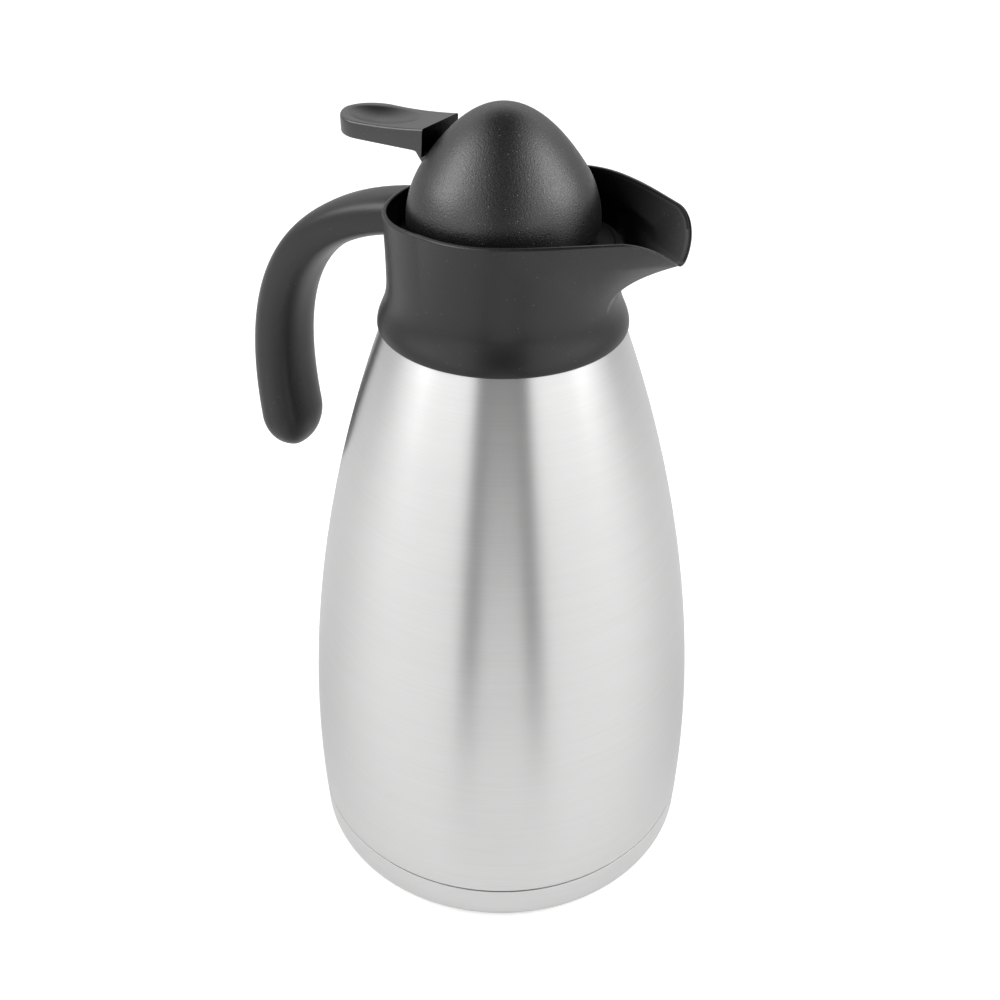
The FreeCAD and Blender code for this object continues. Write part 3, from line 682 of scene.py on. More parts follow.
@dataclass(frozen=True)
class Flask:
    """Double-walled steel body: shell, base cup, liner and what lies between them."""

    belly_radius: float = 67.0
    belly_height: float = 27.0
    side_radius: float = 476.0
    neck_radius: float = 31.2
    neck_length: float = 6.4
    bead_proud: float = 0.5
    bead_drop: float = 3.0
    bead_half: float = 1.2
    shell_wall: float = 0.6
    liner_wall: float = 0.5
    vacuum_gap: float = 5.5
    neck_gap: float = 0.6
    liner_floor: float = 36.0
    liner_corner: float = 20.0
    liner_seam: float = 26.0
    seam_height: float = 14.4
    seam_round: float = 0.3
    seam_gap: float = 0.4
    cup_burr: float = 0.04
    cup_wall: float = 0.8
    cup_edge: float = 4.0
    cup_blend: float = 1.2
    foot_overrun: float = 0.2
    standing_width: float = 10.0
    recess_depth: float = 3.0
    spigot_rise: float = 5.0
    gasket_thickness: float = 1.5
    web_thickness: float = 2.5
    fit: float = 0.05
    clear: float = 0.3

    def side(self, height: np.ndarray, depth: float = 0.0) -> np.ndarray:
        """Radius of the side, one long arc about a far centre, at a depth below the skin."""
        arc = np.sqrt((self.side_radius - depth) ** 2 - (height - self.belly_height) ** 2)
        return arc - self.side_radius + self.belly_radius

    def level(self, radius: float, depth: float = 0.0) -> float:
        """Height above the belly where the side at that depth has the given radius."""
        reach = radius + self.side_radius - self.belly_radius
        return self.belly_height + math.sqrt((self.side_radius - depth) ** 2 - reach ** 2)

    @property
    def shoulder(self) -> float:
        """Height where the side meets the straight neck."""
        return self.level(self.neck_radius)

    @property
    def mouth(self) -> float:
        """Top of the shell's neck."""
        return self.shoulder + self.neck_length

    @property
    def bore(self) -> float:
        """Inside radius of the liner's neck."""
        return self.neck_radius - self.shell_wall - self.neck_gap - self.liner_wall

    @property
    def web_bottom(self) -> float:
        """Underside of the collar's inner shelf."""
        return self.mouth + self.liner_wall + self.gasket_thickness

    @property
    def seat(self) -> float:
        """Top of the collar's inner shelf, where the stopper sits."""
        return self.web_bottom + self.web_thickness

    def wall(self, low: float, high: float, depth: float, count: int) -> np.ndarray:
        """Stretch of the side profile from one height to another, as (radius, height) rows."""
        height = np.linspace(low, high, count)
        return np.stack([self.side(height, depth), height], -1)

    def build_shell(self) -> None:
        """Outer shell: side arc, shoulder, neck with its snap bead, and the inner face back down."""
        bead = self.mouth - self.bead_drop
        turn = np.linspace(-math.pi / 2, math.pi / 2, 9)
        swell = np.stack([self.neck_radius + self.bead_proud * np.cos(turn),
                          bead + self.bead_half * np.sin(turn)], -1)
        seam, small = np.array(self.seam_height), self.seam_round / 4
        edge = np.array([[self.side(seam, self.seam_round), self.seam_height],
                         [self.side(seam, small), self.seam_height + small]])
        inner = self.neck_radius - self.shell_wall
        top = np.array([[self.neck_radius, self.mouth], [inner, self.mouth]])
        inside = self.wall(self.level(inner, self.shell_wall), self.seam_height, self.shell_wall, 60)
        outside = self.wall(self.seam_height + self.seam_round, self.shoulder, 0.0, 160)
        shell = spun(np.concatenate([edge, outside, swell, top, inside]), LARGE_TURN)
        dress(make_piece("outer_shell_skin", shell), SHELL_STEEL, Body.VESSEL, "outer_shell")

    def build_base(self) -> None:
        """Base cup: rounded standing edge, raised middle, and the spigot inside the shell."""
        foot = float(self.side(np.array(0.0)))
        ring_inner = foot - self.cup_edge - self.standing_width
        top = self.seam_height - self.seam_gap
        rim = float(self.side(np.array(top)))
        spigot, spigot_top = rim - self.shell_wall - self.fit, top + self.spigot_rise
        spigot_inner, ring_wall = spigot - self.cup_wall, ring_inner + self.cup_wall
        recess = self.recess_depth
        outer = self.wall(self.cup_edge + self.cup_blend, top - self.cup_burr, 0.0, 24)
        under = [(0.0, recess, 0.0), (ring_inner - recess, recess, 1.5), (ring_inner, 0.0, 1.2),
                 (foot + self.foot_overrun, 0.0, self.cup_edge), (*outer[0], 0.0)]
        inside = [(*outer[-1], 0.0), (rim - self.cup_burr, top, 0.0), (spigot, top, 0.1),
                  (spigot, spigot_top, 0.3), (spigot_inner, spigot_top, 0.3),
                  (spigot_inner, self.cup_edge, 2.0), (ring_wall, self.cup_wall, 0.5),
                  (ring_wall - recess, recess + self.cup_wall, 0.5), (0.0, recess + self.cup_wall, 0.0)]
        profile = np.concatenate([outline(under, closed=False), outer, outline(inside, closed=False)])
        cup = make_piece("base_cup_skin", spun(profile, LARGE_TURN), wrap_columns=False)
        dress(cup, SHELL_STEEL, Body.VESSEL, "base_cup")

    def build_liner(self) -> None:
        """Inner bottle in two welded pressings: the side with its lip on the mouth, and the bottom cup."""
        outer_depth = self.shell_wall + self.vacuum_gap
        inner_depth = outer_depth + self.liner_wall
        neck, lip_top = self.bore + self.liner_wall, self.mouth + self.liner_wall
        seam, bend_top = self.liner_floor + self.liner_seam, self.liner_floor + self.liner_corner
        outside = self.wall(seam, self.level(neck, outer_depth), outer_depth, 60)
        inside = self.wall(self.level(self.bore, inner_depth), seam, inner_depth, 60)
        lip = np.array([[neck, self.mouth], [self.neck_radius, self.mouth],
                        [self.neck_radius, lip_top], [self.bore, lip_top]])
        side = make_piece("liner_side", spun(np.concatenate([outside, lip, inside]), BROAD_TURN))
        dress(side, LINER_STEEL, Body.VESSEL, "inner_liner")
        middle = float(self.side(np.array(bend_top), outer_depth)) - self.liner_corner
        turn = np.linspace(0.0, math.pi / 2, 16)

        def bowl(depth: float, size: float) -> np.ndarray:
            """One face of the cup, from the seam down to the axis.

            Args:
                depth: Depth of the face below the outer skin.
                size: Radius of its bend.

            Returns:
                Radius and height of each point.
            """
            upright = self.wall(seam - self.fit, bend_top, depth, 12)
            bend = np.stack([middle + size * np.cos(turn), bend_top - size * np.sin(turn)], -1)
            return np.concatenate([upright, bend, [[0.0, bend_top - size]]])

        outer_face = bowl(outer_depth, self.liner_corner)
        inner_face = bowl(inner_depth, self.liner_corner - self.liner_wall)
        cup = spun(np.concatenate([outer_face[::-1], inner_face]), BROAD_TURN)
        dress(make_piece("liner_bottom", cup, wrap_columns=False), LINER_STEEL, Body.VESSEL, "liner_cup")

    def build_gasket(self) -> None:
        """Ring seal between the steel mouth and the collar."""
        low = self.mouth + self.liner_wall
        high = low + self.gasket_thickness
        inner, outer = self.bore + self.clear, self.neck_radius
        corners = [(inner, low, 0.3), (outer, low, 0.3), (outer, high, 0.3), (inner, high, 0.3)]
        dress(turned_ring("neck_gasket_ring", corners, PLAIN_TURN), RUBBER, Body.VESSEL, "neck_gasket")

    def dress_vacuum_space(self) -> None:
        """Gives the hidden pieces between the walls their metal finishes."""
        for node, finish in (("vacuum_base", LINER_STEEL), ("getter_clip", LINER_STEEL),
                             ("seal_bead", BEAD_METAL), ("getter_pellet", BEAD_METAL)):
            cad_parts[node].data.materials.clear()
            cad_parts[node].data.materials.append(finish.material())

    def build(self) -> None:
        """Builds and dresses every piece of the flask."""
        self.build_shell()
        self.build_base()
        self.build_liner()
        self.build_gasket()
        self.dress_vacuum_space()


@dataclass(frozen=True)
class Collar:
    """Moulded ring on the neck that is drawn out to the pouring beak."""

    flask: Flask
    skirt_length: float = 12.9
    skirt_edge: float = 0.6
    bulge_proud: float = 0.75
    bulge_rise: float = 0.8
    flare_power: float = 2.2
    waist_radius: float = 34.2
    waist_drop: float = 3.4
    rim_radius: float = 34.65
    throat_radius: float = 32.6
    wall: float = 2.1
    rim_rear: float = 10.1
    rim_side: float = 13.6
    rim_wing: float = 16.3
    wing_reach: float = 46.4
    tip_reach: float = 56.0
    tip_rise: float = 7.0
    tip_overrun: float = 1.6
    beak_curve: float = 1.85
    beak_lean: float = 1.6
    beak_root_drop: float = 13.6
    beak_bulge: float = 5.0
    bulge_end: float = 100.0
    bulge_power: float = 1.3
    beak_tip_radius: float = 2.8
    beak_wall: float = 2.4
    lip_wall: float = 0.75
    rim_lip: float = 1.5
    lip_taper: float = 7.0
    lip_from: float = 14.0
    lip_to: float = 42.0
    screw_rise: float = 3.5
    screw_spacing: float = 7.0
    screw_head_radius: float = 3.0
    screw_recess: float = 0.7
    screw_bevel: float = 0.6
    screw_room: float = 0.3
    lip_round: float = 0.34
    rim_round: float = 0.62
    inner_round: float = 0.7
    flank_limit: float = 1.4
    past_tip_drop: float = 20.0
    rim_room: float = 1.0
    halvings: int = 40
    columns: int = 360
    crowding: float = 1.35
    skirt_crowding: float = 1.6

    @property
    def skirt_bottom(self) -> float:
        """Lower edge of the collar on the shell."""
        return self.flask.shoulder - self.skirt_length

    def round_radius(self, height: np.ndarray) -> np.ndarray:
        """Radius of the round part: swell at the skirt, late cosine to the waist, square law to the rim.

        Args:
            height: Heights.

        Returns:
            Radii, of the same shape.
        """
        edge = float(self.flask.side(np.array(self.skirt_bottom))) + self.skirt_edge
        bulge = edge + self.bulge_proud
        bulge_height = self.skirt_bottom + self.bulge_rise
        waist_height = self.flask.seat - self.waist_drop
        low = np.clip((bulge_height - height) / self.bulge_rise, 0.0, 1.0)
        middle = np.clip((waist_height - height) / (waist_height - bulge_height), 0.0, 1.0)
        middle = middle ** self.flare_power
        high = (height - waist_height) / (self.flask.seat + self.rim_side - waist_height)
        swell = edge + self.bulge_proud * np.sqrt(1 - low ** 2)
        waist = self.waist_radius + (bulge - self.waist_radius) * (1 - np.cos(np.pi * middle)) / 2
        flare = self.waist_radius + (self.rim_radius - self.waist_radius) * high ** 2
        return np.where(height < bulge_height, swell, np.where(height < waist_height, waist, flare))

    def throat(self, height: np.ndarray) -> np.ndarray:
        """Inside radius above the stopper's seat, straight from seat to rim."""
        share = (height - self.flask.seat) / self.rim_side
        return self.throat_radius + (self.rim_radius - self.wall - self.throat_radius) * share

    def front(self, height: np.ndarray) -> np.ndarray:
        """Front line of the beak: it leaves the round part by a power law, and leans out above the tip.

        Args:
            height: Heights.

        Returns:
            Distances from the axis, of the same shape.
        """
        above = height - self.flask.seat - self.tip_rise
        share = np.clip(1 + above / (self.tip_rise + self.beak_root_drop), 0.0, 1.0)
        full = self.tip_reach - self.round_radius(np.array(self.flask.seat + self.tip_rise))
        lean = self.beak_lean * np.maximum(0.0, above)
        return self.round_radius(height) + full * share ** self.beak_curve + lean

    def skin(self, angle: np.ndarray, height: np.ndarray, inset: Union[float, np.ndarray],
             ring: np.ndarray) -> np.ndarray:
        """Distance from the axis to the skin: a circle drawn out to a round tip with bowed flanks.

        Args:
            angle: Angle from the beak.
            height: Height, of the same shape.
            inset: How far the tip lies inside the outer skin.
            ring: Radius of the round part.

        Returns:
            Distances, of the same shape.
        """
        turn = np.abs(angle)
        reach = np.maximum(ring, self.front(height) - inset)
        tip = self.beak_tip_radius - inset / 2
        centre = reach - tip
        normal = np.arccos(np.minimum(1.0, (ring - tip) / centre))
        touch = np.arctan2(tip * np.sin(normal), centre + tip * np.cos(normal))
        rise = (height - self.flask.seat + self.beak_root_drop) / (self.rim_wing + self.beak_root_drop)
        share = np.clip(turn / math.radians(self.bulge_end), 0.0, 1.0)
        bow = self.beak_bulge * np.maximum(0.0, rise) * (4 * share * (1 - share)) ** self.bulge_power
        flank = ring / np.cos(np.minimum(np.abs(turn - normal), self.flank_limit))
        nose = centre * np.cos(turn) + np.sqrt(np.maximum(0.0, tip ** 2 - (centre * np.sin(turn)) ** 2))
        return np.where(turn >= normal, ring, np.where(turn >= touch, flank, nose)) + bow

    def outer(self, angle: np.ndarray, height: np.ndarray) -> np.ndarray:
        """Outer skin's distance from the axis."""
        return self.skin(angle, height, 0.0, self.round_radius(height))

    def lip_size(self, angle: np.ndarray, at_tip: float, at_rim: float) -> np.ndarray:
        """Size of the lip at each angle, from the tip of the beak to the rest of the rim."""
        share = (np.degrees(np.abs(angle)) - self.lip_from) / (self.lip_to - self.lip_from)
        return at_tip + (at_rim - at_tip) * np.clip(share, 0.0, 1.0)

    def inner(self, angle: np.ndarray, height: np.ndarray, rim: np.ndarray) -> np.ndarray:
        """Inner skin's distance from the axis: the wall thins evenly to the lip below the rim.

        Args:
            angle: Angle from the beak.
            height: Height of each point.
            rim: Height of the rim at that angle.

        Returns:
            Distances, of the shape of all three together.
        """
        thin = np.clip(1 - (rim - height) / self.lip_taper, 0.0, 1.0)
        inset = self.beak_wall - (self.beak_wall - self.lip_wall) * thin
        lip = self.lip_size(angle, self.lip_wall, self.rim_lip)
        return self.skin(angle, height, inset, self.throat(height) + (self.wall - lip) * thin)

    @staticmethod
    def circle(first: Pair, second: Pair, third: Pair) -> tuple[float, float, float]:
        """Circle through three points, from the two lines halfway between them.

        Args:
            first: First point.
            second: Second point.
            third: Third point.

        Returns:
            Both coordinates of the centre, and the radius.
        """
        a, b, c = (np.array(p, float) for p in (first, second, third))
        left = 2 * np.array([b - a, c - a])
        right = np.array([b @ b - a @ a, c @ c - a @ a])
        centre = np.linalg.solve(left, right)
        return float(centre[0]), float(centre[1]), float(np.linalg.norm(a - centre))

    def rim_line(self, x: np.ndarray) -> np.ndarray:
        """Height of the rim seen from the side: an arc up to the wings, then an arc down to the tip.

        Args:
            x: Distances in front of the axis.

        Returns:
            Heights, of the same shape.
        """
        seat = self.flask.seat
        rear = (-self.rim_radius - self.wall, seat + self.rim_rear)
        wing = (self.wing_reach, seat + self.rim_wing)
        past = (self.tip_reach, seat + self.tip_rise - self.tip_overrun)
        eighth = math.sqrt(0.5)
        bend = (wing[0] + (self.tip_reach - wing[0]) * eighth,
                seat + self.tip_rise + (self.rim_wing - self.tip_rise) * eighth)
        cx, cz, radius = self.circle(rear, (0.0, seat + self.rim_side), wing)
        sign = -1.0 if cz > wing[1] else 1.0
        rise = cz + sign * np.sqrt(np.maximum(0.0, radius ** 2 - (x - cx) ** 2))
        fx, fz, fall_radius = self.circle(wing, bend, past)
        fall = fz + np.sqrt(np.maximum(0.0, fall_radius ** 2 - (x - fx) ** 2))
        fall = np.where(x > fx + fall_radius, seat - self.past_tip_drop, fall)
        return np.where(x < self.wing_reach, rise, fall)

    def rim_height(self, angle: np.ndarray) -> np.ndarray:
        """Height of the rim at each angle, by halving the range where skin and rim line cross.

        Args:
            angle: Angles from the beak.

        Returns:
            Heights, of the same shape.
        """
        low = np.full_like(angle, self.flask.seat)
        high = np.full_like(angle, self.flask.seat + self.rim_wing + self.rim_room)
        for _ in range(self.halvings):
            middle = (low + high) / 2
            above = middle > self.rim_line(self.outer(angle, middle) * np.cos(angle))
            low, high = np.where(above, low, middle), np.where(above, middle, high)
        return (low + high) / 2

    def screw_holes(self, angle: np.ndarray, height: np.ndarray) -> np.ndarray:
        """Depth of the two countersunk holes at the back of the throat.

        Args:
            angle: Angle from the beak.
            height: Height of each point.

        Returns:
            Depths, of the shape of both together.
        """
        across = self.throat_radius * np.sin(angle)
        gap = np.hypot(np.abs(across) - self.screw_spacing / 2, height - self.flask.seat - self.screw_rise)
        hole = np.clip((self.screw_head_radius + self.screw_bevel - gap) / self.screw_bevel, 0.0, 1.0)
        return np.where(np.cos(angle) < 0, (self.screw_recess + self.screw_room) * hole, 0.0)

    def build(self) -> None:
        """Collar as one closed grid: an upright section for each angle, closer together at the beak."""
        swell_rows, climb_rows, lip_rows, fall_rows, skirt_rows = 24, 56, 7, 40, 24
        share = np.linspace(-1.0, 1.0, self.columns, endpoint=False)
        angle = (math.pi * np.sign(share) * np.abs(share) ** self.crowding)[:, None]
        rim = self.rim_height(angle)
        flask, seat = self.flask, self.flask.seat
        edge = self.lip_size(angle, self.lip_round, self.rim_round)
        crowded = np.linspace(0.0, 1.0, swell_rows)[None, :] ** self.skirt_crowding
        swell = self.skirt_bottom + 2 * self.bulge_rise * crowded
        rest = np.linspace(0.0, 1.0, climb_rows)[None, 1:]
        top = rim - edge
        climb = np.concatenate([swell + 0 * angle, swell[:, -1:] + (top - swell[:, -1:]) * rest], 1)
        outside = self.outer(angle, climb)
        turn = np.linspace(0.0, math.pi / 2, lip_rows)[None, :]
        lip_out = self.outer(angle, rim) - edge * (1 - np.cos(turn))
        lip_out_z = rim - edge * (1 - np.sin(turn))
        inner_edge = edge * self.inner_round
        lip_in = self.inner(angle, rim, rim) + inner_edge * (1 - np.sin(turn))
        lip_in_z = rim - inner_edge * (1 - np.cos(turn))
        descent = np.linspace(0.0, 1.0, fall_rows)[None, 1:]
        fall = (rim - inner_edge) + (seat - rim + inner_edge) * descent
        inside = self.inner(angle, fall, rim) + self.screw_holes(angle, fall)
        skirt = flask.wall(flask.shoulder, self.skirt_bottom, -flask.fit, skirt_rows)
        hole, socket = flask.bore + flask.clear, flask.neck_radius + flask.fit
        web = [[hole, seat], [hole, flask.web_bottom], [socket, flask.web_bottom], [socket, flask.shoulder]]
        below = np.concatenate([web, skirt])
        radius = np.concatenate([outside, lip_out, lip_in, inside, below[None, :, 0] + 0 * angle], 1)
        height = np.concatenate([climb, lip_out_z, lip_in_z, fall, below[None, :, 1] + 0 * angle], 1)
        grid = np.stack([radius * np.cos(angle), radius * np.sin(angle), height], -1)
        dress(make_piece("collar_moulding", grid, crease=50.0), COLLAR_PLASTIC, Body.VESSEL, "collar")


@dataclass(frozen=True)
class Handle:
    """Hooked handle that is free at its lower end, and the two screws that hold its root."""

    collar: Collar
    end: float = 87.0
    end_drop: float = 95.5
    out: float = 71.0
    out_drop: float = 3.0
    back: float = 98.5
    back_drop: float = 27.0
    root_width: float = 19.0
    root_depth: float = 13.0
    grip_width: float = 24.0
    grip_depth: float = 16.5
    end_share: float = 0.07
    swell_power: float = 1.5
    square: float = 2.6
    socket_radius: float = 34.0
    screw_radius: float = 1.5
    screw_head_length: float = 1.5
    screw_length: float = 19.0
    head_flat: float = 0.94
    cross_depth: float = 0.9
    cross_half_width: float = 0.55
    cross_slope: float = 0.12
    cross_reach: float = 1.9
    cross_end: float = 0.3

    def build_grip(self) -> None:
        """Grip: a squarish oval, |y/a|^n + |z/b|^n = 1, carried along a cubic curve to a round end."""
        seat = self.collar.flask.seat
        poles = np.array([
            [-self.collar.throat_radius, seat + self.collar.screw_rise], [-self.out, seat - self.out_drop],
            [-self.back, seat - self.back_drop], [-self.end, seat - self.end_drop]])
        body_rows, cap_rows, columns = 110, 26, 96
        body = np.linspace(0.0, 1 - self.end_share, body_rows)
        cap = 1 - self.end_share * (1 - np.sin(np.linspace(0.0, math.pi / 2, cap_rows)[1:]))
        share = np.concatenate([body, cap])[:, None]
        rest = 1 - share
        weights = np.concatenate([rest ** 3, 3 * rest ** 2 * share, 3 * rest * share ** 2, share ** 3], 1)
        cross = 2 * rest * share
        slopes = np.concatenate([-rest ** 2, rest ** 2 - cross, cross - share ** 2, share ** 2], 1)
        place, along = weights @ poles, slopes @ poles
        along /= np.linalg.norm(along, axis=1, keepdims=True)
        normal = np.stack([along[:, 1], -along[:, 0]], -1)
        past = np.maximum(0.0, 1 - rest / self.end_share)
        close = np.sqrt(np.maximum(0.0, 1 - past ** 2))
        swell = share ** self.swell_power
        width = (self.root_width + (self.grip_width - self.root_width) * swell) * close / 2
        depth = (self.root_depth + (self.grip_depth - self.root_depth) * swell) * close / 2
        turn = np.linspace(0.0, 2 * math.pi, columns, endpoint=False)[None, :]
        power = 2 / self.square
        across = width * np.sign(np.cos(turn)) * np.abs(np.cos(turn)) ** power
        lift = depth * np.sign(np.sin(turn)) * np.abs(np.sin(turn)) ** power
        x = place[:, :1] + normal[:, :1] * lift
        x = np.minimum(x, -np.sqrt(self.socket_radius ** 2 - across ** 2))
        z = place[:, 1:] + normal[:, 1:] * lift
        grid = np.stack([x, across, z], -1)
        grip = make_piece("handle_grip", grid, wrap_rows=False, crease=60.0, fill=True)
        dress(grip, GREY_PLASTIC, Body.VESSEL, "handle")

    def build_screws(self) -> None:
        """Countersunk screws that point backwards: a turned profile with a cross pressed into the head."""
        height = self.collar.flask.seat + self.collar.screw_rise
        face = -float(self.collar.throat(np.array(height))) - self.collar.screw_recess
        head, shank = self.collar.screw_head_radius, self.screw_radius
        corners = [(0.0, 0.0, 0.0), (head, 0.0, 0.15), (shank, self.screw_head_length, 0.2),
                   (shank, self.screw_length, 0.5), (0.0, self.screw_length, 0.0)]
        rings, flat_points = 24, 8
        fine = np.stack([np.linspace(0.0, head * self.head_flat, rings), np.zeros(rings)], -1)
        profile = np.concatenate([fine, outline(corners, closed=False)[flat_points:]])
        turned = spun(profile, NARROW_TURN)
        u, v, depth = turned[..., 0], turned[..., 1], turned[..., 2]
        narrow = np.minimum(np.abs(u), np.abs(v))
        wide = np.maximum(np.abs(u), np.abs(v))
        sides = np.clip((self.cross_half_width - narrow) / self.cross_slope, 0.0, 1.0)
        ends = np.clip((self.cross_reach - wide) / self.cross_end, 0.0, 1.0)
        on_face = depth < 0.01
        depth = depth + np.where(on_face, self.cross_depth * sides * ends, 0.0)
        for number, sign in enumerate((-1, 1), 1):
            grid = np.stack([face - depth, sign * self.collar.screw_spacing / 2 + u, height + v], -1)
            screw = make_piece(f"handle_screw_{number}", grid, wrap_columns=False)
            dress(screw, SHADED_SCREW, Body.VESSEL, "handle_screws")

    def build(self) -> None:
        """Builds and dresses the grip and its screws."""
        self.build_grip()
        self.build_screws()


@dataclass(frozen=True)
class Stopper:
    """Cup that closes the neck, with its seal, its bridge and the ring that carries the dome."""

    collar: Collar
    depth: float = 17.0
    wall: float = 2.0
    floor: float = 2.5
    flange_thickness: float = 2.0
    seal_height: float = 3.0
    seal_rise: float = 5.0
    seal_groove: float = 1.2
    ring_radius: float = 22.6
    ring_wall: float = 2.0
    ring_rise: float = 10.5
    window_rise: float = 6.5
    window_half_angle: float = 40.0
    ledge_width: float = 1.4
    valve_hole_radius: float = 15.0
    guide_thickness: float = 2.0
    pivot_back: float = 14.0
    pivot_rise: float = 5.0
    pin_radius: float = 1.5
    arm_half_width: float = 5.5
    lug_wall: float = 2.5
    lug_half_length: float = 2.8
    lug_round: float = 0.25
    spring_radius: float = 6.5
    spring_wire: float = 1.0
    spring_turns: int = 6
    stem_radius: float = 3.0
    running: float = 0.08
    room: float = 0.4

    @property
    def flange_top(self) -> float:
        """Upper face of the flange in the collar's throat."""
        return self.collar.flask.seat + self.flange_thickness

    @property
    def ring_top(self) -> float:
        """Top of the ring wall, level with the bridge."""
        return self.flange_top + self.ring_rise

    @property
    def bottom(self) -> float:
        """Underside of the cup."""
        return self.collar.flask.seat - self.depth

    @property
    def cup_radius(self) -> float:
        """Outside radius of the cup."""
        return self.collar.flask.bore - self.collar.flask.clear - self.seal_groove + self.room

    @property
    def pivot_height(self) -> float:
        """Height of the lever's pin."""
        return self.ring_top + self.pivot_rise

    def build_cup(self) -> None:
        """Cup with the valve seat, the groove of the seal and the flange."""
        seat, cup, inner = self.collar.flask.seat, self.cup_radius, self.cup_radius - self.wall
        low = self.bottom + self.seal_rise
        high = low + self.seal_height
        ring_inner = self.ring_radius - self.ring_wall
        flange = self.collar.throat_radius - self.room
        corners = [
            (self.valve_hole_radius, self.bottom, 0.4), (cup, self.bottom, 1.0), (cup, low, 0.1),
            (cup - self.seal_groove, low, 0.1), (cup - self.seal_groove, high, 0.1), (cup, high, 0.1),
            (cup, seat, 0.1), (flange, seat, 0.4), (flange, self.flange_top, 0.6),
            (ring_inner, self.flange_top, 0.1), (ring_inner, seat, 0.1), (inner, seat, 0.1),
            (inner, self.bottom + self.floor, 0.8), (self.valve_hole_radius, self.bottom + self.floor, 0.3)]
        dress(turned_ring("stopper_cup", corners, BROAD_TURN), INNER_PLASTIC, Body.LID, "stopper")

    def build_ring(self) -> None:
        """Ring wall under the dome: open at the pouring window, whole above it."""
        inner, outer = self.ring_radius - self.ring_wall, self.ring_radius
        foot, sill, top = self.flange_top, self.flange_top + self.window_rise, self.ring_top
        ledge = inner - self.ledge_width
        ledge_top = top - self.guide_thickness
        ledge_foot = ledge_top - self.ring_wall
        half = math.radians(self.window_half_angle)
        low = [(inner, foot, 0.0), (outer, foot, 0.0), (outer, sill, 0.0), (inner, sill, 0.0)]
        sector = spun(outline(low, steps=2), PLAIN_TURN, half, 2 * math.pi - 2 * half)
        wall = make_piece("stopper_window_wall", sector, wrap_rows=False, fill=True)
        dress(wall, INNER_PLASTIC, Body.LID, "stopper")
        high = [(inner, sill, 0.2), (outer, sill, 0.4), (outer, top, 0.3), (inner, top, 0.3),
                (inner, ledge_top, 0.0), (ledge, ledge_top, 0.2), (ledge, ledge_foot, 0.2),
                (inner, ledge_foot, 0.2)]
        dress(turned_ring("stopper_ring", high, BROAD_TURN), INNER_PLASTIC, Body.LID, "stopper")

    def build_seal(self) -> None:
        """Lip seal in the cup's groove: a soft ridge between two flat faces."""
        flask = self.collar.flask
        low = self.bottom + self.seal_rise + flask.fit
        high = low + self.seal_height - 2 * flask.fit
        inner = self.cup_radius - self.seal_groove + flask.fit
        body, outer = self.cup_radius - flask.fit, flask.bore - flask.clear
        corners = [(inner, low, 0.1), (body, low, 0.2), (outer, (low + high) / 2, 0.5),
                   (body, high, 0.2), (inner, high, 0.1)]
        dress(turned_ring("stopper_seal_ring", corners, BROAD_TURN), RUBBER, Body.LID, "stopper_seal")

    def build_bridge(self) -> None:
        """Bridge that guides the stem, with two round-headed lugs for the pin."""
        fit = self.collar.flask.fit
        low, high = self.ring_top - self.guide_thickness, self.ring_top
        outer, bore = self.ring_radius - self.ring_wall - fit, self.stem_radius + self.running
        corners = [(bore, low, 0.2), (outer, low, 0.2), (outer, high, 0.2), (bore, high, 0.3)]
        dress(turned_ring("bridge_disc", corners, PLAIN_TURN), INNER_PLASTIC, Body.LID, "stem_guide")
        turn = np.linspace(0.0, math.pi, 24)
        half, pivot = self.lug_half_length, -self.pivot_back
        head = np.stack([pivot + half * np.cos(turn), self.pivot_height + half * np.sin(turn)], -1)
        foot = np.array([[pivot - half, high], [pivot + half, high]])
        near = self.arm_half_width + self.room
        for name, sign in (("near", -1), ("far", 1)):
            grid = prism(np.concatenate([head, foot]), sign * near, sign * (near + self.lug_wall))
            lug = soften(make_piece(f"bridge_lug_{name}", grid, wrap_rows=False, fill=True), self.lug_round)
            dress(lug, INNER_PLASTIC, Body.LID, "stem_guide")

    def build_pin(self) -> None:
        """Pin across the lugs, with rounded ends."""
        half, radius = self.arm_half_width + self.room + self.lug_wall, self.pin_radius
        corners = [(0.0, -half, 0.0), (radius, -half, 0.25), (radius, half, 0.25), (0.0, half, 0.0)]
        x, z, y = np.moveaxis(spun(outline(corners, closed=False), PIN_TURN), -1, 0)
        grid = np.stack([x - self.pivot_back, y, z + self.pivot_height], -1)
        dress(make_piece("lever_pin_rod", grid, wrap_columns=False), SCREW_STEEL, Body.LID, "lever_pin")

    def build_spring(self, low: float) -> None:
        """Spring between plug and bridge, squeezed when the valve lifts: a circle carried along a helix,
        drawn at its length with the valve shut.

        Args:
            low: Height of the face that it stands on.
        """
        fit = self.collar.flask.fit
        high = self.ring_top - self.guide_thickness
        wire = self.spring_wire / 2
        start, end = low + wire + fit, high - wire - fit
        rows, columns = 64 * self.spring_turns + 1, 16
        turn = np.linspace(0.0, 2 * math.pi * self.spring_turns, rows)[:, None]
        section = np.linspace(0.0, 2 * math.pi, columns, endpoint=False)[None, :]
        radius = self.spring_radius + wire * np.cos(section)
        height = start + (end - start) * turn / turn[-1] + wire * np.sin(section)
        grid = np.stack([radius * np.cos(turn), radius * np.sin(turn), height], -1)
        spring = make_piece("valve_spring_coil", grid, wrap_rows=False, fill=True)
        dress(spring, SCREW_STEEL, Body.LID, "valve_spring")
        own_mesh(spring)

    def build(self, plug_top: float) -> None:
        """Builds and dresses every piece of the stopper.

        Args:
            plug_top: Height of the valve plug's plate, under the spring.
        """
        self.build_cup()
        self.build_ring()
        self.build_seal()
        self.build_bridge()
        self.build_pin()
        self.build_spring(plug_top)


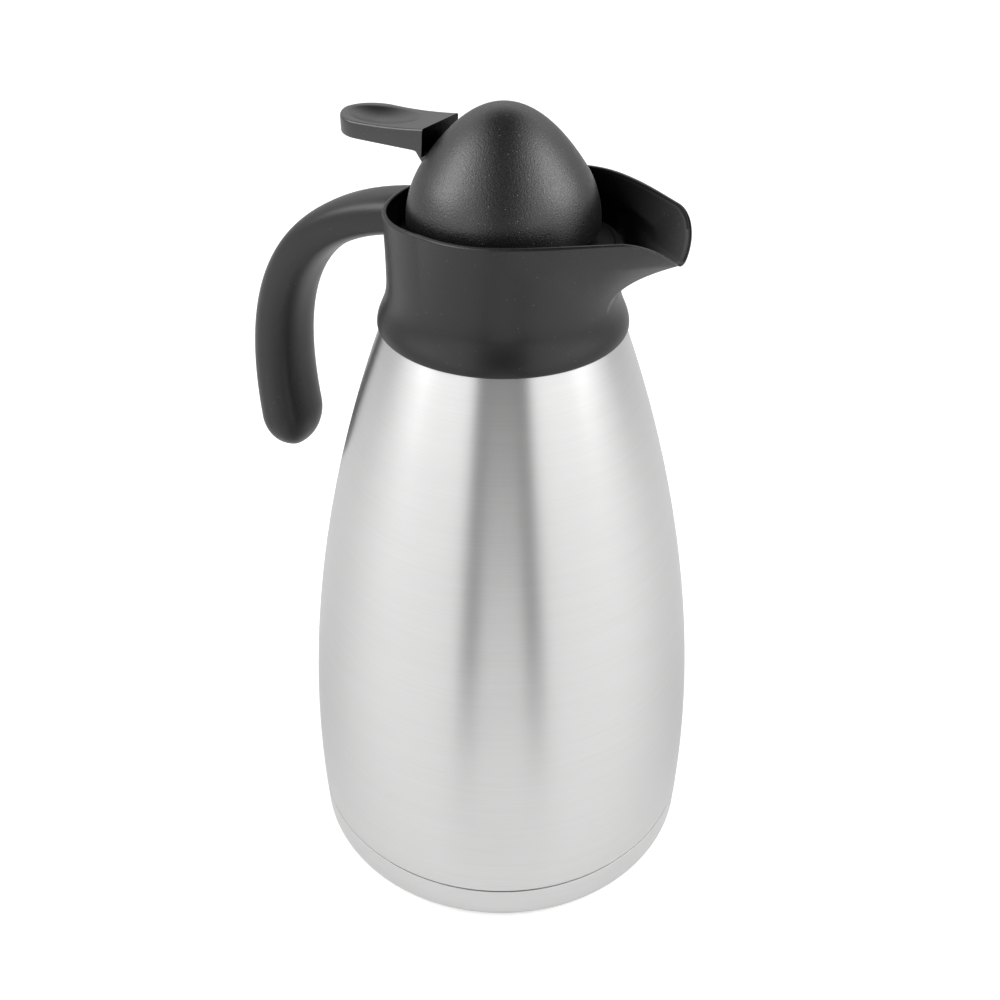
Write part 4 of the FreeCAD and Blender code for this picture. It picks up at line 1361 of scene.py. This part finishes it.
@dataclass(frozen=True)
class Dome:
    """Grained cover of the stopper, with a slot at the back for the lever."""

    stopper: Stopper
    rise: float = 38.5
    skirt_rise: float = 4.5
    knee_radius: float = 23.2
    knee_drop: float = 17.45
    shoulder: float = 28.0
    wall: float = 2.0
    slot_drop: float = 1.5
    slot_half: float = 7.4
    paddle_rise: float = 7.9
    edge_round: float = 0.35

    @property
    def top(self) -> float:
        """Height of the apex."""
        return self.stopper.flange_top + self.rise

    @property
    def bottom(self) -> float:
        """Lower edge."""
        return self.stopper.flange_top + self.skirt_rise

    def radius(self, height: np.ndarray) -> np.ndarray:
        """Radius at a height: a parabola from the apex, then a round shoulder that touches it at the knee.

        Args:
            height: Heights.

        Returns:
            Radii, of the same shape.
        """
        tilt = math.atan2(self.knee_radius, 2 * self.knee_drop)
        knee = self.top - self.knee_drop
        crown = self.knee_radius * np.sqrt(np.maximum(0.0, self.top - height) / self.knee_drop)
        below = np.minimum(height, knee) - knee + self.shoulder * math.sin(tilt)
        skirt = self.knee_radius - self.shoulder * math.cos(tilt) + np.sqrt(self.shoulder ** 2 - below ** 2)
        return np.where(height > knee, crown, skirt)

    def profile(self) -> np.ndarray:
        """Half outline from the apex down, closer together at the apex, with levels at the ends of the slot.

        Returns:
            Radius and height of each point.
        """
        first, last = self.slot
        crown_rows, side_rows = 70, 24
        crown = self.top - (self.top - first) * np.linspace(0.0, 1.0, crown_rows) ** 2
        middle, skirt = np.linspace(first, last, side_rows), np.linspace(last, self.bottom, side_rows)
        rows = np.concatenate([crown, middle[1:], skirt[1:]])
        return np.stack([self.radius(rows), rows], -1)

    @property
    def slot(self) -> Pair:
        """Upper and lower end of the slot for the lever."""
        pivot = self.stopper.pivot_height
        return pivot + self.paddle_rise + self.stopper.room, pivot - self.slot_drop

    def build(self) -> None:
        """Dome as a turned grid whose two middle back columns follow the sides of the slot."""
        profile = self.profile()
        first, last = (int(np.argmin(np.abs(profile[:, 1] - level))) for level in self.slot)
        side = np.clip(profile[:, 0], profile[first, 0], profile[last, 0])
        edge = np.arcsin(self.slot_half / side)[None, :]
        gap, body = 16, 224
        back = np.linspace(-1.0, 1.0, gap, endpoint=False)[:, None] * edge
        rest = edge + (2 * math.pi - 2 * edge) * np.linspace(0.0, 1.0, body, endpoint=False)[:, None]
        angle = math.pi + np.concatenate([back, rest])
        radius, height = profile[None, :, 0], profile[None, :, 1]
        grid = np.stack([radius * np.cos(angle), radius * np.sin(angle), height + 0 * angle], -1)
        keep = np.ones((gap + body, len(profile) - 1), bool)
        keep[:gap, first:last] = False
        cover = make_piece("dome_cover", grid, wrap_columns=False, keep=keep, crease=60.0)
        shell = cover.modifiers.new("wall", "SOLIDIFY")
        shell.thickness = self.wall * MM
        shell.offset = -1.0
        shell.use_even_offset = True
        soften(cover, self.edge_round)
        dress(cover, DOME_PLASTIC, Body.LID, "dome")


@dataclass(frozen=True)
class ThumbLever:
    """Thumb paddle over the handle, with its neck through the dome and the fork that lifts the stem."""

    dome: Dome
    valve: "Valve"
    boss_radius: float = 4.0
    neck_half_width: float = 7.0
    tip: float = 54.4
    tip_radius: float = 9.8
    root_half_width: float = 9.0
    root_top: float = 6.7
    middle_top: float = 5.2
    tip_top: float = 5.5
    skirt: float = 1.4
    neck_root: float = 4.0
    dish_reach: float = 41.4
    dish_half_length: float = 11.0
    dish_half_width: float = 7.4
    dish_depth: float = 2.1
    edge_round: float = 0.7
    bar_round: float = 0.3
    bar_overlap: float = 1.0
    tine_overlap: float = 0.2
    dish_soft: float = 0.07
    lean_length: float = 6.0

    @property
    def bottom(self) -> float:
        """Underside of the paddle."""
        return self.dome.stopper.pivot_height + self.dome.paddle_rise

    def dome_back(self, height: float) -> float:
        """Distance behind the axis of the dome's skin at the edge of its slot."""
        return math.sqrt(float(self.dome.radius(np.array(height))) ** 2 - self.dome.slot_half ** 2)

    def build_paddle(self) -> None:
        """Paddle as rounded sections along x: round in plan at the tip, with an oval hollow in its top."""
        room = self.dome.stopper.room
        root = -self.dome_back(self.bottom) - 2 * room
        hem = -self.dome_back(self.bottom - self.skirt) - room
        nose_rows, blade_rows, corner_points, top_points = 40, 60, 8, 40
        share = 1 - np.cos(np.linspace(0.0, 1.0, nose_rows) * math.pi / 2)
        ends = np.linspace(0.0, 1.0, blade_rows)[1:]
        centre = -self.tip + self.tip_radius
        x = np.concatenate([-self.tip + self.tip_radius * share, centre + (root - centre) * ends])[:, None]
        along = np.clip((x - centre) / (root - centre), 0.0, 1.0)
        taper = self.tip_radius + (self.root_half_width - self.tip_radius) * along
        nose = np.sqrt(np.maximum(0.0, self.tip_radius ** 2 - (x - centre) ** 2))
        width = np.where(x < centre, nose, taper)
        fillet = np.minimum(self.edge_round, width)
        far = -self.tip - self.bar_overlap
        arc_x, arc_z, arc_radius = Collar.circle(
            (far, self.tip_top), ((root + far) / 2, self.middle_top), (root, self.root_top))
        side = math.copysign(1.0, self.middle_top - arc_z)
        top = self.bottom + arc_z + side * np.sqrt(arc_radius ** 2 - (x - arc_x) ** 2)
        drop = np.clip((x - hem + 2 * self.skirt) / (2 * self.skirt), 0.0, 1.0)
        under = self.bottom - self.skirt * drop ** 2
        corner = np.linspace(0.0, math.pi / 2, corner_points)[None, :]
        row = np.linspace(1.0, -1.0, top_points)[None, 1:-1]
        sine, cosine = np.sin(corner), np.cos(corner)
        y = np.concatenate([
            width - fillet + fillet * sine, width - fillet + fillet * cosine, (width - fillet) * row,
            -width + fillet - fillet * sine, -width + fillet - fillet * cosine], 1)
        z = np.concatenate([
            under + fillet * (1 - cosine), top - fillet * (1 - sine), top + 0 * row,
            top - fillet * (1 - cosine), under + fillet * (1 - sine)], 1)
        across = (self.dish_half_width ** 2 + self.dish_depth ** 2) / self.dish_depth
        length = (self.dish_half_length ** 2 + self.dish_depth ** 2) / self.dish_depth
        hollow = self.bottom + self.middle_top - self.dish_depth
        hollow = hollow + (x + self.dish_reach) ** 2 / length + y ** 2 / across
        dished = -self.dish_soft * np.logaddexp(-z / self.dish_soft, -hollow / self.dish_soft)
        upper = z > (top + under) / 2
        z = np.where(upper, np.minimum(z, dished), z)
        lean = (self.bottom + self.root_top - z) / (self.root_top + self.skirt) * (hem - root)
        blend = np.clip((x - root + self.lean_length) / self.lean_length, 0.0, 1.0)
        grid = np.stack([x + lean * blend, y, z], -1)
        paddle = make_piece("thumb_paddle", grid, wrap_rows=False, fill=True, crease=32.0)
        dress(paddle, LIT_LEVER_PLASTIC, Body.LEVER, "thumb_lever")

    def build_arm(self) -> None:
        """Neck through the dome's slot, the arm on the pin, and the two tines of the fork beside the stem."""
        stopper, nose = self.dome.stopper, self.valve.nose_radius
        pivot, back = stopper.pivot_height, stopper.pivot_back
        boss, half = self.boss_radius, stopper.arm_half_width
        hem = -self.dome_back(self.bottom - self.skirt) - stopper.room
        lap = self.bar_overlap
        stop, foot = -back - boss - lap, pivot - boss / 4
        clear = stopper.collar.flask.clear
        crotch, lift = -stopper.stem_radius - 4 * clear, -self.valve.cap_radius - stopper.room
        under = pivot - boss + (boss - nose) * (1 + crotch / back)
        neck = outline([
            (hem - lap, self.bottom + lap, 0.0), (hem - self.neck_root, self.bottom + lap, 0.0),
            (hem - self.neck_root, self.bottom, 0.4), (stop, foot, 0.6), (stop, pivot + boss, 0.6)], steps=5)
        arm = outline([
            (stop - lap, foot + lap, 0.0), (-back, pivot - boss, 1.0), (crotch, under, 0.0),
            (crotch, pivot + nose, 0.0), (lift, pivot + nose, 0.4), (-back, pivot + boss, 1.0),
            (stop - lap, pivot + boss, 0.0)], steps=5)
        turn = np.linspace(-math.pi / 2, math.pi / 2, 20)
        tip = np.stack([nose * np.cos(turn), pivot + nose * np.sin(turn)], -1)
        root = crotch - self.tine_overlap
        tine = np.concatenate([tip, [[root, pivot + nose], [root, under]]])
        inner = stopper.stem_radius + clear
        bars = {"lever_neck": (neck, -self.neck_half_width, self.neck_half_width),
                "lever_arm": (arm, -half, half),
                "lever_tine_near": (tine, -inner, -half),
                "lever_tine_far": (tine, inner, half)}
        for name, (profile, near, far) in bars.items():
            piece = make_piece(name, prism(profile, near, far), wrap_rows=False, fill=True)
            dress(soften(piece, self.bar_round), LIT_LEVER_PLASTIC, Body.LEVER, "thumb_lever")

    def build(self) -> None:
        """Builds and dresses the lever."""
        self.build_paddle()
        self.build_arm()


@dataclass(frozen=True)
class Valve:
    """Plug, seal, stem and cap that the lever lifts."""

    stopper: Stopper
    overlap: float = 2.5
    thickness: float = 3.0
    hub_radius: float = 5.0
    hub_rise: float = 3.0
    boss_radius: float = 7.0
    boss_drop: float = 2.8
    seal_thickness: float = 1.5
    cap_radius: float = 5.5
    cap_thickness: float = 2.5
    cap_cover: float = 0.8
    nose_radius: float = 2.5

    @property
    def plug_bottom(self) -> float:
        """Underside of the plug's plate."""
        return self.stopper.bottom + self.stopper.floor + self.seal_thickness

    @property
    def plug_top(self) -> float:
        """Upper face of the plug's plate."""
        return self.plug_bottom + self.thickness

    def build(self) -> None:
        """Builds and dresses the four turned pieces of the valve."""
        fit, stem = self.stopper.collar.flask.fit, self.stopper.stem_radius
        outer = self.stopper.valve_hole_radius + self.overlap
        low, top, bottom = self.plug_bottom, self.plug_top, self.plug_bottom - self.boss_drop
        bore, boss, hub = stem + fit, self.boss_radius, self.hub_radius
        hub_top = top + self.hub_rise
        plug = [(bore, bottom, 0.2), (boss, bottom, 0.4), (boss, low, 0.3), (outer, low, 0.3),
                (outer, top, 0.6), (hub, top, 0.4), (hub, hub_top, 0.5), (bore, hub_top, 0.2)]
        dress(turned_ring("valve_plug_disc", plug, PLAIN_TURN), INNER_PLASTIC, Body.VALVE, "valve_plug")
        seat = low - self.seal_thickness
        seal = [(boss + fit, seat, 0.2), (outer, seat, 0.4), (outer, low, 0.2), (boss + fit, low, 0.1)]
        dress(turned_ring("valve_seal_ring", seal, PLAIN_TURN), RUBBER, Body.VALVE, "valve_seal")
        cap_low = self.stopper.pivot_height + self.nose_radius + self.stopper.collar.flask.clear
        stem_top = cap_low + self.cap_thickness - self.cap_cover
        rod = [(0.0, bottom, 0.0), (stem, bottom, 0.3), (stem, stem_top, 0.3), (0.0, stem_top, 0.0)]
        dress(turned_rod("valve_stem_rod", rod, NARROW_TURN), INNER_PLASTIC, Body.VALVE, "valve_stem")
        roof, high = stem_top + fit, cap_low + self.cap_thickness
        cap = [(0.0, roof, 0.0), (bore, roof, 0.1), (bore, cap_low, 0.1), (self.cap_radius, cap_low, 0.3),
               (self.cap_radius, high, 0.7), (0.0, high, 0.0)]
        dress(turned_rod("stem_cap_button", cap, NARROW_TURN), INNER_PLASTIC, Body.VALVE, "stem_cap")


@dataclass(frozen=True)
class Studio:
    """Pale floor, soft light from a white tent with a slit in front, and the photograph's camera."""

    azimuth: float = 32.0
    elevation: float = 34.59
    distance: float = 402.0
    aim_height: float = 129.4
    focal_pixels: float = 1217.0
    image_size: float = 1000.0
    sensor: float = 36.0
    nearest: float = 0.01
    centre_offset: float = 2.35
    roll: float = 0.0045
    tent_side: float = 1.55
    tent_back: float = 0.55
    tent_top: float = 1.1
    back_rise: Pair = (0.1, 0.5)
    side_turn: Pair = (-0.5, 0.9)
    slit_low: float = 0.34
    slit_high: float = 0.04
    slit_rise: Pair = (0.05, 0.45)
    slit_reach: Pair = (-0.80, -0.45)
    slit_half: float = 22.0
    slit_soft: float = 3.0
    card_soft: float = 0.02
    card_reach: Pair = (0.14, 0.42)
    strip_half: float = 12.5
    strip_share: float = 0.04
    strip_soft: float = 0.01
    floor_half: float = 3.0
    floor_drop: float = 0.02
    floor_rough: float = 0.9
    floor_white: float = 0.80
    floor_dark: float = 0.12
    floor_glow: float = 0.42
    floor_glint: float = 0.20
    glint_turn: Pair = (-0.6, 0.7)
    lamp_turn: float = 85.0
    lamp_height: float = 0.85
    lamp_distance: float = 0.95
    lamp_size: float = 0.7
    lamp_power: float = 6.0

    def camera(self) -> None:
        """Camera at the photograph's angle, turned by the small roll and offset that were measured."""
        a, e = math.radians(self.azimuth), math.radians(self.elevation)
        back = Vector((math.sin(a) * math.cos(e), -math.cos(a) * math.cos(e), math.sin(e)))
        place = Vector((0.0, 0.0, self.aim_height * MM)) + back * self.distance * MM
        turn = (-back).to_track_quat("-Z", "Y").to_matrix().to_4x4()
        lens = bpy.data.cameras.new("photo_camera")
        lens.sensor_width = self.sensor
        lens.lens = self.focal_pixels / self.image_size * self.sensor
        lens.shift_x = -self.centre_offset / self.image_size
        lens.clip_start = self.nearest
        seen = bpy.data.objects.new("photo_camera", lens)
        seen.matrix_world = Matrix.Translation(place) @ turn @ Matrix.Rotation(self.roll, 4, "Z")
        bpy.context.scene.collection.objects.link(seen)
        bpy.context.scene.camera = seen

    def axes(self, graph: Graph, place: Socket) -> tuple[Socket, Socket, Socket]:
        """Parts of a point or direction along the camera's azimuth, sideways from it, and upwards.

        Args:
            graph: Graph to work in.
            place: Point or direction.

        Returns:
            The part along the azimuth, the size of the sideways part, and the height.
        """
        x, y, z = graph.split(place)
        a = math.radians(self.azimuth)
        toward = graph.maths("MULTIPLY_ADD", x, math.sin(a), graph.maths("MULTIPLY", y, -math.cos(a)))
        aside = graph.maths("MULTIPLY_ADD", x, math.cos(a), graph.maths("MULTIPLY", y, math.sin(a)))
        return toward, graph.maths("ABSOLUTE", aside), z

    @staticmethod
    def facing(graph: Graph, toward: Socket, aside: Socket) -> tuple[Socket, Socket]:
        """Cosine of the angle round the upright axis from that azimuth, and the distance from the axis."""
        reach = graph.reach(toward, aside)
        return graph.maths("DIVIDE", toward, reach), reach

    def world(self) -> None:
        """Tent light: white to the camera, and to all else bright at the sides with a dark slit."""
        sky = bpy.data.worlds.new("tent")
        bpy.context.scene.world = sky
        sky.use_nodes = True
        graph = Graph(sky.node_tree)
        toward, aside, up = self.axes(graph, graph.add("ShaderNodeTexCoord").outputs["Generated"])
        facing, _ = self.facing(graph, toward, aside)
        back = graph.ramp(up, *self.back_rise, self.tent_back, self.tent_top)
        sides = graph.ramp(facing, *self.side_turn, back, self.tent_side)
        narrow = math.sin(math.radians(self.slit_half - self.slit_soft))
        wide = math.sin(math.radians(self.slit_half + self.slit_soft))
        across = graph.ramp(aside, narrow, wide, 1.0, 0.0)
        gap = graph.maths("MULTIPLY", across, graph.ramp(toward, *self.slit_reach, 0.0, 1.0))
        dim = graph.ramp(up, *self.slit_rise, self.slit_low, self.slit_high)
        strength = graph.maths("MULTIPLY", sides, graph.ramp(gap, 0.0, 1.0, 1.0, dim))
        mixed = graph.add("ShaderNodeMixShader")
        graph.feed(mixed.inputs[0], graph.add("ShaderNodeLightPath").outputs["Is Camera Ray"])
        for socket, power in zip(mixed.inputs[1:], (strength, 1.0)):
            light = graph.add("ShaderNodeBackground")
            graph.feed(light.inputs["Color"], WHITE)
            graph.feed(light.inputs["Strength"], power)
            graph.feed(socket, light.outputs[0])
        graph.feed(graph.add("ShaderNodeOutputWorld").inputs[0], mixed.outputs[0])

    def lamp(self, name: str, turn: float) -> None:
        """Soft box at an azimuth from the camera, facing the jug.

        Args:
            name: Name of the lamp.
            turn: Degrees to the right of the camera.
        """
        light = bpy.data.lights.new(name, "AREA")
        light.shape = "RECTANGLE"
        light.size = self.lamp_size
        light.size_y = self.lamp_size
        light.energy = self.lamp_power
        a = math.radians(self.azimuth + turn)
        far = self.lamp_distance
        place = Vector((math.sin(a) * far, -math.cos(a) * far, self.lamp_height))
        aim = Vector((0.0, 0.0, self.aim_height * MM)) - place
        lit = bpy.data.objects.new(name, light)
        lit.matrix_world = Matrix.Translation(place) @ aim.to_track_quat("-Z", "Y").to_matrix().to_4x4()
        bpy.context.scene.collection.objects.link(lit)

    def floor(self) -> None:
        """Pale floor that keeps the shadow and reads as white to the camera. To glossy rays alone it is
        painted: a dark wedge in front of the jug, with a paler strip in its middle, and a glow that grows
        towards the front outside the wedge, which the steel reflects.
        """
        half = self.floor_half / MM
        line = np.linspace(-half, half, 3)
        x, y = np.meshgrid(line, line, indexing="ij")
        grid = np.stack([x, y, 0 * x - self.floor_drop], -1)
        plane = make_piece("floor", grid, wrap_rows=False, wrap_columns=False)
        paint, graph, shader = start_material("pale_floor")
        graph.feed(shader.inputs["Roughness"], self.floor_rough)
        graph.feed(shader.inputs["Specular IOR Level"], 0.0)
        graph.feed(shader.inputs["Emission Color"], WHITE)
        path = graph.add("ShaderNodeLightPath").outputs
        toward, aside, _ = self.axes(graph, graph.place())
        facing, reach = self.facing(graph, toward, aside)
        edge = math.cos(math.radians(self.slit_half))
        strip = math.cos(math.radians(self.strip_half))
        # Painted reflection: seen only by glossy rays, the floor turns dark in a wedge towards the camera.
        card = graph.ramp(facing, edge - self.card_soft, edge + self.card_soft, 0.0, 1.0)
        middle = graph.ramp(facing, strip - self.strip_soft, strip + self.strip_soft, 1.0, self.strip_share)
        far = graph.maths("MULTIPLY", graph.maths("MULTIPLY", card, middle),
                          graph.ramp(reach, *self.card_reach, 0.0, 1.0))
        shade = graph.maths("MULTIPLY", far, path["Is Glossy Ray"])
        tone = graph.tint(shade, (self.floor_white,) * 3, (self.floor_dark,) * 3)
        graph.feed(shader.inputs["Base Color"], tone)
        # Painted glow: emission seen only by glossy rays, brighter towards the front.
        bright = graph.ramp(facing, *self.glint_turn, 0.0, 1.0)
        bright = graph.maths("MULTIPLY", path["Is Glossy Ray"], bright)
        glint = graph.maths("MULTIPLY", graph.maths("SUBTRACT", bright, shade), self.floor_glint)
        glow = graph.maths("MULTIPLY_ADD", path["Is Camera Ray"], self.floor_glow, glint)
        graph.feed(shader.inputs["Emission Strength"], glow)
        plane.data.materials.append(paint)

    def build(self) -> None:
        """Sets up floor, light and camera."""
        bpy.context.scene.view_settings.view_transform = "Standard"
        self.world()
        self.floor()
        self.lamp("left_box", -self.lamp_turn)
        self.lamp("right_box", self.lamp_turn)
        self.camera()


def main() -> None:
    """Builds the jug and the studio, and reports each piece."""
    logging.basicConfig(level=logging.INFO, format="%(message)s")
    flask = Flask()
    collar = Collar(flask)
    stopper = Stopper(collar)
    dome = Dome(stopper)
    valve = Valve(stopper)
    flask.build()
    collar.build()
    Handle(collar).build()
    stopper.build(valve.plug_top)
    dome.build()
    ThumbLever(dome, valve).build()
    valve.build()
    Studio().build()


if __name__ == "__main__":
    main()
